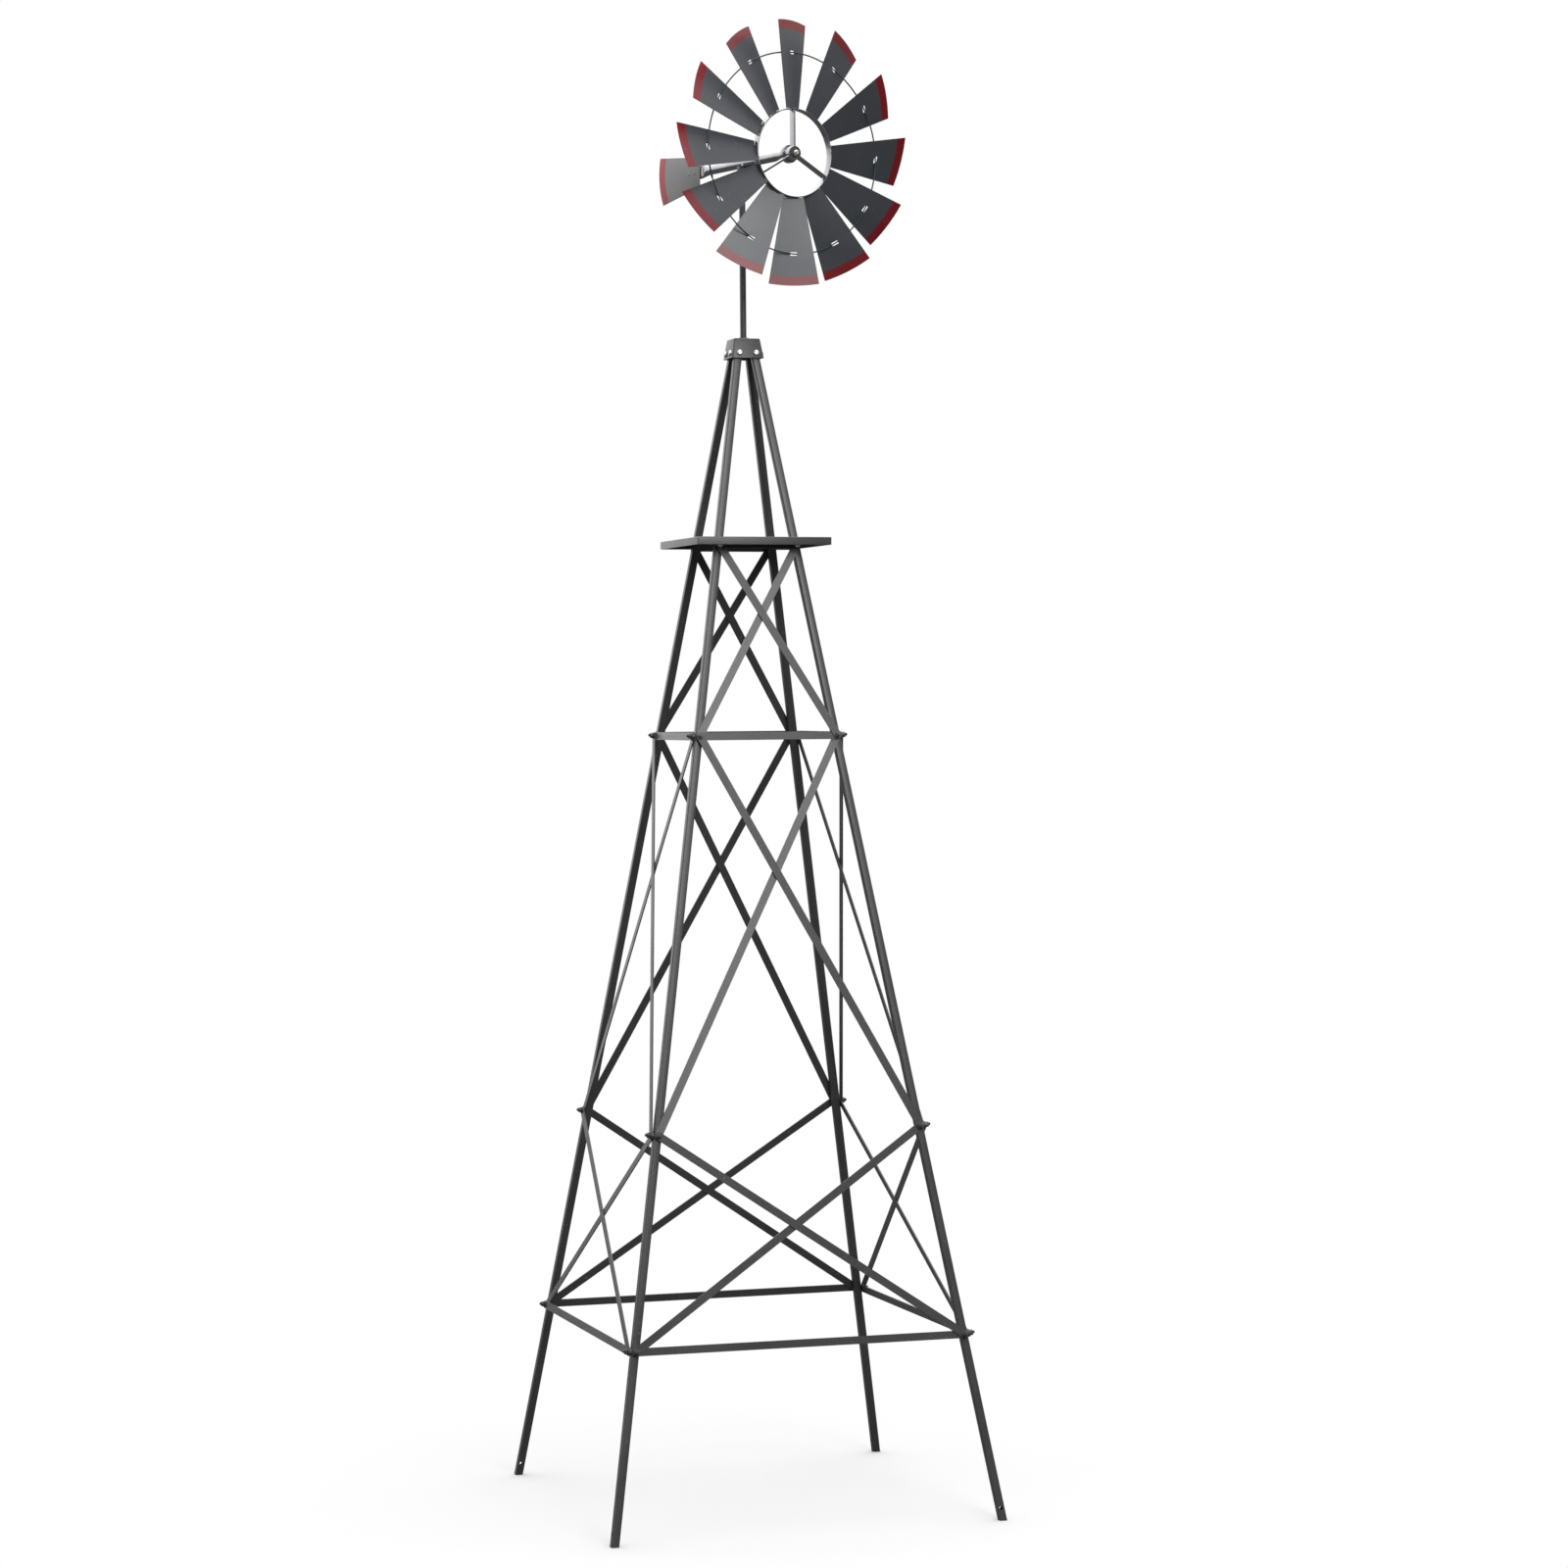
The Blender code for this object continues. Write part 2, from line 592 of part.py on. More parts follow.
def blade_mesh():
    """A twisted tapered sheet that stands up from the ring, with a slot for the wire hoop.

    The sheet is a grid of rows from root to tip and columns across the chord. The slot is one cell left out.
    """
    root_radius = RING_INNER_RADIUS + RING_SHEET + 2 * CLEARANCE

    def chord(radius):
        share = (radius - root_radius) / (BLADE_TIP_RADIUS - root_radius)
        return BLADE_ROOT_CHORD + share * (BLADE_TIP_CHORD - BLADE_ROOT_CHORD)

    def pitch(radius):
        share = (radius - root_radius) / (BLADE_TIP_RADIUS - root_radius)
        return BLADE_ROOT_PITCH + share * (BLADE_TIP_PITCH - BLADE_ROOT_PITCH)

    slot_column = SLOT_LENGTH / chord(WIRE_RADIUS)
    half_column = (1 + slot_column) / 2
    columns = [-1, -half_column, -slot_column, slot_column, half_column, 1]
    span = BLADE_TIP_RADIUS - root_radius
    slot_rows = [(WIRE_RADIUS + side * SLOT_WIDTH / 2 - root_radius) / span for side in (-1, 1)]
    rows = [0, slot_rows[0] / 3, slot_rows[0] * 2 / 3, *slot_rows, (slot_rows[1] + 1) / 2, 1]

    def point(row, column, side):
        radius = root_radius + rows[row] * span
        across = columns[column] * chord(radius) / 2 * math.cos(pitch(radius))
        height = radius
        if row in (0, len(rows) - 1):
            height = math.sqrt(radius * radius - across * across)
        angle = pitch(height)
        width = columns[column] * chord(height) / 2
        offset = side * BLADE_SHEET / 2
        x = width * math.cos(angle) + offset * math.sin(angle)
        y = width * math.sin(angle) - offset * math.cos(angle)
        return x, y, height

    bm = bmesh.new()
    grid = {
        (r, c, s): bm.verts.new(point(r, c, s))
        for r in range(len(rows)) for c in range(len(columns)) for s in (-1, 1)
    }
    slot = (rows.index(slot_rows[0]), columns.index(-slot_column))
    cells = [(r, c) for r in range(len(rows) - 1) for c in range(len(columns) - 1) if (r, c) != slot]
    for r, c in cells:
        corners = [(r, c), (r, c + 1), (r + 1, c + 1), (r + 1, c)]
        neighbors = [(r - 1, c), (r, c + 1), (r + 1, c), (r, c - 1)]
        for side in (-1, 1):
            bm.faces.new([grid[(*corner, side)] for corner in corners])
        for i, neighbor in enumerate(neighbors):
            a, b = corners[i], corners[(i + 1) % 4]
            if neighbor not in cells:
                bm.faces.new([grid[(*a, -1)], grid[(*b, -1)], grid[(*b, 1)], grid[(*a, 1)]])
    return bm


def build_blades(wheel, material):
    """Blade 1 stands straight up and the others follow clockwise, seen from the front."""
    first = add_object("blade_01", blade_mesh(), material, wheel)
    for i in range(1, BLADE_COUNT):
        blade = bpy.data.objects.new(f"blade_{i + 1:02d}", first.data)
        bpy.context.scene.collection.objects.link(blade)
        blade.parent = wheel
        blade.rotation_euler.y = 2 * math.pi * i / BLADE_COUNT


def main():
    clear_scene()
    coat = finish_material("dark_powder_coat", (0.07, 0.07, 0.072), 0.45, 0.3)
    blade_paint = finish_material("blade_paint", (0.055, 0.06, 0.068), 0.45, 0.3)
    vane_paint = finish_material("vane_paint", (0.20, 0.20, 0.20), 0.45, 0.3)
    wire = finish_material("dark_wire", (0.03, 0.05, 0.05), 0.4, 0.6)
    satin = finish_material("satin_steel", (0.35, 0.35, 0.36), 0.28, 1.0)
    zinc = finish_material("bright_zinc", (0.75, 0.75, 0.76), 0.3, 1.0)
    bronze = finish_material("bush_bronze", (0.45, 0.30, 0.14), 0.4, 1.0)

    build_legs(coat)
    build_bars(coat)
    build_braces(coat)
    build_deck(coat)
    build_cap(coat)
    build_mast(coat)

    head = add_empty("head_axis", (0, 0, HEAD_HEIGHT), (0, 0, HEAD_TURN))
    build_tee(head, coat)
    build_boom(head, satin)
    build_vane(head, vane_paint)
    build_bearing(head, satin)
    build_axle(head, zinc, coat)

    wheel = add_empty("wheel_axis", (0, -WHEEL_FORWARD, 0), parent=head)
    build_hub(wheel, satin, bronze)
    build_rings(wheel, satin, wire)
    build_blades(wheel, blade_paint)


main()
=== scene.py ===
# %% [markdown]
# # A garden windmill, from plain solids to finished pieces
#
# The windmill stands about 2.4 m high. Four square tubes lean in to a cap, flat strips cross between
# them, and a mast on top carries a head that turns with the wind. The plain solids come already made and
# in their places. Here each one is either given a finish or replaced by a piece with rounder edges, real
# wall thickness, welds and hardware.

import json
import math

import bmesh
import bpy
from mathutils import Matrix, Vector


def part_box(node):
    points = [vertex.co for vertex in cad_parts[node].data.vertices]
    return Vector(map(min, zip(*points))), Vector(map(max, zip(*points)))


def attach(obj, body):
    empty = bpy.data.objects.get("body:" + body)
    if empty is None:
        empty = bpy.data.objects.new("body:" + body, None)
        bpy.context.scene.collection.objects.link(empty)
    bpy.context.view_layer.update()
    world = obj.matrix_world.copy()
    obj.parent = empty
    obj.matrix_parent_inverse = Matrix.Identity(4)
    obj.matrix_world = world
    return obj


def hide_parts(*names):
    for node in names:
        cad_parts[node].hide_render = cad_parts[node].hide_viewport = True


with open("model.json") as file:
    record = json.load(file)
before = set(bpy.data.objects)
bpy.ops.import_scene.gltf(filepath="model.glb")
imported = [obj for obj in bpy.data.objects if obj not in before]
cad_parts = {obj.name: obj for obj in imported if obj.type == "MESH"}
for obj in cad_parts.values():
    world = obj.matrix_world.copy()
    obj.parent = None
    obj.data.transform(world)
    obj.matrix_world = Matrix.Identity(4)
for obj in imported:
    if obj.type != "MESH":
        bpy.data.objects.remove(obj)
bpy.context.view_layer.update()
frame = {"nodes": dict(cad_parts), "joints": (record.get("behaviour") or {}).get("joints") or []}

# %% [markdown]
# ## Where things are
#
# The head turns about the mast, and the wheel spins about a level axle. Their two joints give the height
# of the axle, the way the wheel faces, and how far it stands ahead of the mast. Heights, depths and ends
# are mostly read from the plain solids. Walls, roundings, most radii, the vane's outline and the heights
# of the bolts are numbers written in below.

# %% Read the places of the head, the wheel and the tower
joints = {joint["name"]: joint for joint in frame["joints"]}
swivel = Vector(joints["head_yaw"]["pos_m"])
wheel_center = Vector(joints["wheel_spin"]["pos_m"])
wheel_front = Vector(joints["wheel_spin"]["axis"]).normalized()
head_turn = math.atan2(wheel_front.x, -wheel_front.y)
wheel_reach = (wheel_center - swivel).length
head_place = Matrix.Translation(swivel) @ Matrix.Rotation(head_turn, 4, "Z")
wheel_place = head_place @ Matrix.Translation((0, -wheel_reach, 0))
lying_forward = Matrix.Rotation(math.pi / 2, 4, "X")

base_half_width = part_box("leg_front_right")[1].x
leg_top_low, leg_top_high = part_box("leg_front_right")
leg_side = 0.013
meeting_height = 2.038
lean_rate = 0.332 / meeting_height


def half_width(height):
    """How far the legs' outer faces are from the mast's axis. It is none at the meeting height."""
    return base_half_width - lean_rate * height


print("axle height", round(swivel.z, 4), "head turned", round(math.degrees(head_turn), 2), "degrees")

# %% [markdown]
# ## Camera
#
# A long lens about seven metres away keeps the tall tower's sides nearly straight. The camera stands a
# little above half height and to the left of the front face, and looks very slightly down.

# %% Set up the camera
camera_data = bpy.data.cameras.new("camera")
camera_data.lens = 94.275
camera_data.sensor_width = 36
camera_data.clip_end = 200
camera = bpy.data.objects.new("camera", camera_data)
bpy.context.scene.collection.objects.link(camera)
heading, pitch, roll = math.radians(17.12), math.radians(1.12), math.radians(0.463)
forward = Vector((
    math.sin(heading) * math.cos(pitch), math.cos(heading) * math.cos(pitch), -math.sin(pitch),
))
level_right = Vector((math.cos(heading), -math.sin(heading), 0))
level_up = level_right.cross(forward)
right = level_right * math.cos(roll) - level_up * math.sin(roll)
up = level_up * math.cos(roll) + level_right * math.sin(roll)
camera_place = Vector((-1.960, -6.573, 1.328))
camera_turn = Matrix((right, up, -forward)).transposed()
camera.matrix_world = Matrix.Translation(camera_place) @ camera_turn.to_4x4()
bpy.context.scene.camera = camera
print("lens", round(camera_data.lens, 2), "mm")

# %% [markdown]
# ## Light and floor
#
# Dark glossy paint shows what surrounds it more than its own colour, so the surroundings do most of the
# work: bright behind, dim in front, and some light from above. A tall soft light in front of the wheel
# is what the lower blades catch. The floor is nearly white to the camera and dark grey to everything
# else, so that it doesn't wash out the undersides. Near the tower the camera sees the lit grey floor
# with its real shadows. Further out it fades into the white backdrop, so the grey round the tower is
# also a painted shadow pool.

# %% Set up the world, the lights and the floor
bpy.context.scene.view_settings.view_transform = "Standard"
world = bpy.data.worlds.new("studio")
bpy.context.scene.world = world
world.use_nodes = True
sky = world.node_tree
background = sky.nodes["Background"]
background.inputs["Color"].default_value = (1, 1, 1, 1)
direction = sky.nodes.new("ShaderNodeTexCoord")
axes = sky.nodes.new("ShaderNodeSeparateXYZ")
sky.links.new(direction.outputs["Generated"], axes.inputs[0])
behind = sky.nodes.new("ShaderNodeMapRange")
behind.inputs["From Min"].default_value = -0.45
behind.inputs["From Max"].default_value = 0.75
behind.inputs["To Min"].default_value = 0.10
behind.inputs["To Max"].default_value = 1.6
behind.interpolation_type = "SMOOTHSTEP"
sky.links.new(axes.outputs["Y"], behind.inputs["Value"])
above = sky.nodes.new("ShaderNodeMapRange")
above.inputs["From Min"].default_value = 0.1
above.inputs["From Max"].default_value = 0.8
above.inputs["To Min"].default_value = 0.0
above.inputs["To Max"].default_value = 0.8
above.interpolation_type = "SMOOTHSTEP"
sky.links.new(axes.outputs["Z"], above.inputs["Value"])
brightness = sky.nodes.new("ShaderNodeMath")
brightness.operation = "ADD"
sky.links.new(behind.outputs[0], brightness.inputs[0])
sky.links.new(above.outputs[0], brightness.inputs[1])
rays = sky.nodes.new("ShaderNodeLightPath")
seen = sky.nodes.new("ShaderNodeMix")
seen.inputs["B"].default_value = 1.0
sky.links.new(rays.outputs["Is Camera Ray"], seen.inputs["Factor"])
sky.links.new(brightness.outputs[0], seen.inputs["A"])
sky.links.new(seen.outputs[0], background.inputs["Strength"])


def soft_light(name, place, target, width, height, watts):
    """A rectangular light that points at a target and can't be seen itself."""
    data = bpy.data.lights.new(name, "AREA")
    data.shape = "RECTANGLE"
    data.size = width
    data.size_y = height
    data.energy = watts
    light = bpy.data.objects.new(name, data)
    bpy.context.scene.collection.objects.link(light)
    light.location = place
    light.rotation_euler = (Vector(target) - Vector(place)).to_track_quat("-Z", "Y").to_euler()
    light.visible_camera = False
    return light


soft_light("wheel_light", (0.414, -4.90, 3.65), wheel_center, 1.9, 3.0, 145)
soft_light("left_light", (-5.0, -1.5, 3.5), (0, 0, 1.2), 2.5, 3.5, 28)
soft_light("top_light", (0.8, -0.6, 6.5), (0, 0, 1.0), 4.0, 4.0, 120)

bpy.ops.mesh.primitive_plane_add(size=120)
floor = bpy.context.object
floor.name = "floor"
floor_material = bpy.data.materials.new("floor_white")
floor_material.use_nodes = True
floor_nodes = floor_material.node_tree
shown = floor_nodes.nodes["Principled BSDF"]
shown.inputs["Base Color"].default_value = (0.56, 0.56, 0.56, 1)
shown.inputs["Roughness"].default_value = 0.9
shown.inputs["Specular IOR Level"].default_value = 0.1
reflected = floor_nodes.nodes.new("ShaderNodeBsdfDiffuse")
reflected.inputs["Color"].default_value = (0.10, 0.10, 0.10, 1)
floor_rays = floor_nodes.nodes.new("ShaderNodeLightPath")
floor_mix = floor_nodes.nodes.new("ShaderNodeMixShader")
floor_nodes.links.new(floor_rays.outputs["Is Camera Ray"], floor_mix.inputs[0])
floor_nodes.links.new(reflected.outputs[0], floor_mix.inputs[1])
near_far = floor_nodes.nodes.new("ShaderNodeTexCoord")
from_middle = floor_nodes.nodes.new("ShaderNodeVectorMath")
from_middle.operation = "LENGTH"
floor_nodes.links.new(near_far.outputs["Object"], from_middle.inputs[0])
# The fade by distance from the tower paints a soft shadow pool: lit grey floor near it, white glow
# beyond.
painted_shadow_fade = floor_nodes.nodes.new("ShaderNodeMapRange")
painted_shadow_fade.inputs["From Min"].default_value = 0.4
painted_shadow_fade.inputs["From Max"].default_value = 1.0
painted_shadow_fade.interpolation_type = "SMOOTHSTEP"
floor_nodes.links.new(from_middle.outputs["Value"], painted_shadow_fade.inputs["Value"])
distant = floor_nodes.nodes.new("ShaderNodeEmission")
painted_shadow_mix = floor_nodes.nodes.new("ShaderNodeMixShader")
floor_nodes.links.new(painted_shadow_fade.outputs[0], painted_shadow_mix.inputs[0])
floor_nodes.links.new(shown.outputs[0], painted_shadow_mix.inputs[1])
floor_nodes.links.new(distant.outputs[0], painted_shadow_mix.inputs[2])
floor_nodes.links.new(painted_shadow_mix.outputs[0], floor_mix.inputs[2])
floor_nodes.links.new(floor_mix.outputs[0], floor_nodes.nodes["Material Output"].inputs["Surface"])
floor.data.materials.append(floor_material)

# %% [markdown]
# ## A coat of paint
#
# Powder coat and enamel on steel are never quite even: the film has a fine orange-peel ripple, its colour
# drifts a little, dust settles on what faces up, and a few chips show lighter primer. Several finishes
# share these effects, so they are one node group, and each material sets its own amounts.

# %% Build the paint effects group
paint = bpy.data.node_groups.new("paint_film", "ShaderNodeTree")
for name, kind, value in (
    ("Color", "NodeSocketColor", (0.05, 0.05, 0.05, 1)),
    ("Roughness", "NodeSocketFloat", 0.4),
    ("Ripple size", "NodeSocketFloat", 500.0),
    ("Ripple depth", "NodeSocketFloat", 0.12),
    ("Dust", "NodeSocketFloat", 0.1),
    ("Chips", "NodeSocketFloat", 0.5),
):
    socket = paint.interface.new_socket(name, in_out="INPUT", socket_type=kind)
    socket.default_value = value
for name, kind in (
    ("Color", "NodeSocketColor"), ("Roughness", "NodeSocketFloat"), ("Normal", "NodeSocketVector"),
):
    paint.interface.new_socket(name, in_out="OUTPUT", socket_type=kind)


def node(tree, kind, **settings):
    """Adds a node and sets its own settings and its inputs' values."""
    made = tree.nodes.new(kind)
    for key, value in settings.items():
        if hasattr(made, key):
            setattr(made, key, value)
        else:
            made.inputs[key.replace("_", " ")].default_value = value
    return made


given = node(paint, "NodeGroupInput")
made = node(paint, "NodeGroupOutput")
place = node(paint, "ShaderNodeTexCoord")
drift = node(paint, "ShaderNodeTexNoise", Scale=7.0, Detail=4.0, Roughness=0.6)
ripple = node(paint, "ShaderNodeTexNoise", Detail=2.0)
speck = node(paint, "ShaderNodeTexNoise", Scale=260.0, Detail=1.0)
settle = node(paint, "ShaderNodeTexNoise", Scale=35.0, Detail=5.0)
for texture in (drift, ripple, speck, settle):
    paint.links.new(place.outputs["Object"], texture.inputs["Vector"])
paint.links.new(given.outputs["Ripple size"], ripple.inputs["Scale"])


def ranged(source, low, high, to_low, to_high, tree=paint):
    """Remaps a value from one range to another, clamped."""
    made = tree.nodes.new("ShaderNodeMapRange")
    for key, value in (("From Min", low), ("From Max", high), ("To Min", to_low), ("To Max", to_high)):
        made.inputs[key].default_value = value
    tree.links.new(source, made.inputs["Value"])
    return made.outputs["Result"]


def math_node(tree, operation, first, second):
    """A Math node on two values or sockets."""
    made = tree.nodes.new("ShaderNodeMath")
    made.operation = operation
    for socket, value in zip(made.inputs, (first, second)):
        if isinstance(value, (int, float)):
            socket.default_value = value
        else:
            tree.links.new(value, socket)
    return made.outputs[0]


def mixed(tree, factor, first, second, blend_type="MIX"):
    """A colour Mix node, on colours or sockets."""
    made = tree.nodes.new("ShaderNodeMix")
    made.data_type = "RGBA"
    made.blend_type = blend_type
    for socket, value in ((made.inputs[0], factor), (made.inputs[6], first), (made.inputs[7], second)):
        if isinstance(value, bpy.types.NodeSocket):
            tree.links.new(value, socket)
        else:
            socket.default_value = value
    return made.outputs[2]


facing = node(paint, "ShaderNodeNewGeometry")
facing_axes = node(paint, "ShaderNodeSeparateXYZ")
paint.links.new(facing.outputs["Normal"], facing_axes.inputs[0])
upward = ranged(facing_axes.outputs["Z"], 0.15, 1.0, 0.0, 1.0)
dust_spread = math_node(paint, "MULTIPLY", upward, ranged(settle.outputs["Fac"], 0.35, 0.65, 0.3, 1.0))
dust_amount = math_node(paint, "MULTIPLY", dust_spread, given.outputs["Dust"])
chip_mask = ranged(speck.outputs["Fac"], 0.735, 0.745, 0.0, 1.0)
chip_amount = math_node(paint, "MULTIPLY", chip_mask, given.outputs["Chips"])
shade = ranged(drift.outputs["Fac"], 0.3, 0.7, 0.86, 1.14)
shade_color = node(paint, "ShaderNodeCombineColor")
for channel in range(3):
    paint.links.new(shade, shade_color.inputs[channel])
drifting = mixed(paint, 1.0, given.outputs["Color"], shade_color.outputs[0], "MULTIPLY")
dusty = mixed(paint, dust_amount, drifting, (0.30, 0.29, 0.27, 1))
chipped = mixed(paint, chip_amount, dusty, (0.22, 0.22, 0.22, 1))
paint.links.new(chipped, made.inputs["Color"])
roughness_drift = ranged(drift.outputs["Fac"], 0.3, 0.7, -0.05, 0.05)
uneven = math_node(paint, "ADD", given.outputs["Roughness"], roughness_drift)
matted = math_node(paint, "ADD", uneven, math_node(paint, "MULTIPLY", dust_amount, 0.5))
paint.links.new(matted, made.inputs["Roughness"])
bump = node(paint, "ShaderNodeBump", Distance=0.0004)
paint.links.new(ripple.outputs["Fac"], bump.inputs["Height"])
paint.links.new(given.outputs["Ripple depth"], bump.inputs["Strength"])
paint.links.new(bump.outputs[0], made.inputs["Normal"])


# %% [markdown]
# ## Painted finishes
#
# The tower, the mast and the swivel have a dark grey semi-gloss coat. The blades are a bluer enamel with
# a dark red band along the tip. The band follows the circle of the wheel, so it is painted by distance
# from the axle. The vane's band follows its own bowed edge in the same way. Two of the front braces are
# given a lighter copy of the same coat, a painted highlight for the light they catch.

# %% Make the painted materials
def painted(name, color, roughness, ripple_size=500.0, ripple_depth=0.12, dust=0.1, chips=0.5):
    """A painted material whose colour passes through the paint film effects."""
    material = bpy.data.materials.new(name)
    material.use_nodes = True
    tree = material.node_tree
    film = tree.nodes.new("ShaderNodeGroup")
    film.node_tree = paint
    film.inputs["Color"].default_value = (*color, 1)
    film.inputs["Roughness"].default_value = roughness
    film.inputs["Ripple size"].default_value = ripple_size
    film.inputs["Ripple depth"].default_value = ripple_depth
    film.inputs["Dust"].default_value = dust
    film.inputs["Chips"].default_value = chips
    shader = tree.nodes["Principled BSDF"]
    for output, target in (("Color", "Base Color"), ("Roughness", "Roughness"), ("Normal", "Normal")):
        tree.links.new(film.outputs[output], shader.inputs[target])
    return material


def add_band(material, center, axis, radius, color):
    """Paints what lies further than radius from an axis in a second colour, with a slightly soft edge."""
    tree = material.node_tree
    film = next(n for n in tree.nodes if n.type == "GROUP")
    spot = node(tree, "ShaderNodeTexCoord")
    away = node(tree, "ShaderNodeVectorMath", operation="SUBTRACT")
    away.inputs[1].default_value = center
    tree.links.new(spot.outputs["Object"], away.inputs[0])
    across = node(tree, "ShaderNodeVectorMath", operation="CROSS_PRODUCT")
    across.inputs[1].default_value = axis
    tree.links.new(away.outputs[0], across.inputs[0])
    distance = node(tree, "ShaderNodeVectorMath", operation="LENGTH")
    tree.links.new(across.outputs[0], distance.inputs[0])
    wander = node(tree, "ShaderNodeTexNoise", Scale=180.0)
    tree.links.new(spot.outputs["Object"], wander.inputs["Vector"])
    sway = ranged(wander.outputs["Fac"], 0, 1, -0.0003, 0.0003, tree)
    wandering = math_node(tree, "ADD", distance.outputs["Value"], sway)
    mask = ranged(wandering, radius - 0.0002, radius + 0.0002, 0.0, 1.0, tree)
    base = tuple(film.inputs["Color"].default_value)
    tree.links.new(mixed(tree, mask, base, (*color, 1)), film.inputs["Color"])


tip_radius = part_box("blade_01")[1].z - swivel.z
powder_coat = painted("powder_coat", (0.045, 0.045, 0.046), 0.36)
# A lit copy of the coat: a lighter grey that is a painted highlight for two front braces.
painted_highlight_coat = painted("powder_coat_bright", (0.120, 0.120, 0.121), 0.36)
blade_enamel = painted("blade_enamel", (0.047, 0.051, 0.061), 0.34, 300.0, 0.03, 0.03, 0.3)
tip_band_width = 0.0150
add_band(blade_enamel, wheel_center, wheel_front, tip_radius - tip_band_width, (0.17, 0.001, 0.005))
vane_enamel = painted("vane_enamel", (0.23, 0.23, 0.23), 0.60, 300.0, 0.05, 0.04, 0.3)
wire_paint = painted("wire_paint", (0.006, 0.030, 0.024), 0.45, 900.0, 0.05, 0.0, 0.0)
weld_paint = painted("weld_paint", (0.036, 0.036, 0.037), 0.45, 1400.0, 0.6, 0.05, 0.2)

# %% [markdown]
# ## Bare metal
#
# The boom, the bearing housing, the spokes and the inner ring are satin steel. The silver hardware has
# bright zinc plating, with a fine mottled grain and a faint blue and yellow cast from the chromate dip.
# The hub's bush is sintered bronze, which is grainy and soft in gloss.

# %% Make the metal materials
def plated(name, color, tint, roughness, grain, relief=0.15):
    """A metal with mottled roughness and a second tint that comes and goes."""
    material = bpy.data.materials.new(name)
    material.use_nodes = True
    tree = material.node_tree
    shader = tree.nodes["Principled BSDF"]
    shader.inputs["Metallic"].default_value = 1.0
    spot = node(tree, "ShaderNodeTexCoord")
    mottle = node(tree, "ShaderNodeTexNoise", Scale=grain, Detail=4.0)
    cast = node(tree, "ShaderNodeTexNoise", Scale=grain / 12)
    for texture in (mottle, cast):
        tree.links.new(spot.outputs["Object"], texture.inputs["Vector"])
    share = ranged(cast.outputs["Fac"], 0.35, 0.65, 0.0, 1.0, tree)
    tree.links.new(mixed(tree, share, (*color, 1), (*tint, 1)), shader.inputs["Base Color"])
    mottled = ranged(mottle.outputs["Fac"], 0.3, 0.7, roughness - 0.06, roughness + 0.10, tree)
    tree.links.new(mottled, shader.inputs["Roughness"])
    ridges = node(tree, "ShaderNodeBump", Distance=0.0001, Strength=relief)
    tree.links.new(mottle.outputs["Fac"], ridges.inputs["Height"])
    tree.links.new(ridges.outputs[0], shader.inputs["Normal"])
    return material


satin_steel = plated("satin_steel", (0.35, 0.35, 0.36), (0.31, 0.31, 0.33), 0.24, 420.0, 0.02)
zinc = plated("bright_zinc", (0.70, 0.71, 0.74), (0.76, 0.74, 0.66), 0.30, 900.0)
bronze = plated("bush_bronze", (0.45, 0.30, 0.14), (0.38, 0.24, 0.12), 0.45, 1500.0)
for name, solid in frame["nodes"].items():
    solid.data.materials.clear()
    solid.data.materials.append(powder_coat)
# Two front braces get the lighter coat, which paints on the light they catch.
for name in ("middle_brace_front_inner", "upper_brace_front_inner"):
    frame["nodes"][name].data.materials[0] = painted_highlight_coat
frame["nodes"]["hub_bush"].data.materials[0] = bronze
for name in ("boom", "bearing_housing", "wheel_spider", "inner_ring"):
    frame["nodes"][name].data.materials[0] = satin_steel
frame["nodes"]["axle_bolt"].data.materials[0] = zinc

# %% [markdown]
# ## Modelling helpers
#
# These are the few moves that every piece below uses: select nothing, open one piece in edit mode, pick
# parts by their place, round the edges, cut one shape with another, and turn a round piece upwards from
# a disc by extruding and scaling.

# %% Define the helpers
def deselect():
    bpy.ops.object.select_all(action="DESELECT")


def activate(piece):
    deselect()
    piece.select_set(True)
    bpy.context.view_layer.objects.active = piece


def edit(piece, kind="FACE"):
    """Opens a piece in edit mode with nothing selected."""
    activate(piece)
    bpy.ops.object.mode_set(mode="EDIT")
    bpy.ops.mesh.select_mode(type=kind)
    bpy.ops.mesh.select_all(action="DESELECT")


def done():
    bpy.ops.object.mode_set(mode="OBJECT")


def pick(piece, kind, test):
    """Selects the faces, edges or verts that pass the test, and says how many."""
    mesh = bmesh.from_edit_mesh(piece.data)
    count = 0
    for part in getattr(mesh, kind):
        if test(part):
            part.select_set(True)
            count += 1
    bmesh.update_edit_mesh(piece.data)
    return count


def round_edges(piece, width, segments=2, angle=35):
    """Bevels every edge sharper than an angle."""
    activate(piece)
    bevel = piece.modifiers.new("round", "BEVEL")
    bevel.width = width
    bevel.segments = segments
    bevel.limit_method = "ANGLE"
    bevel.angle_limit = math.radians(angle)
    bevel.harden_normals = False
    bpy.ops.object.modifier_apply(modifier=bevel.name)


def thicken(piece, thickness, offset=-1):
    """Gives a sheet a wall. Offset -1 grows it inwards."""
    activate(piece)
    wall = piece.modifiers.new("wall", "SOLIDIFY")
    wall.thickness = thickness
    wall.offset = offset
    wall.use_even_offset = True
    bpy.ops.object.modifier_apply(modifier=wall.name)


def cut(piece, cutter, operation="DIFFERENCE"):
    """Cuts a piece with another shape, which is used up."""
    activate(piece)
    boolean = piece.modifiers.new("cut", "BOOLEAN")
    boolean.operation = operation
    boolean.solver = "EXACT"
    boolean.object = cutter
    bpy.ops.object.modifier_apply(modifier=boolean.name)
    bpy.data.objects.remove(cutter)


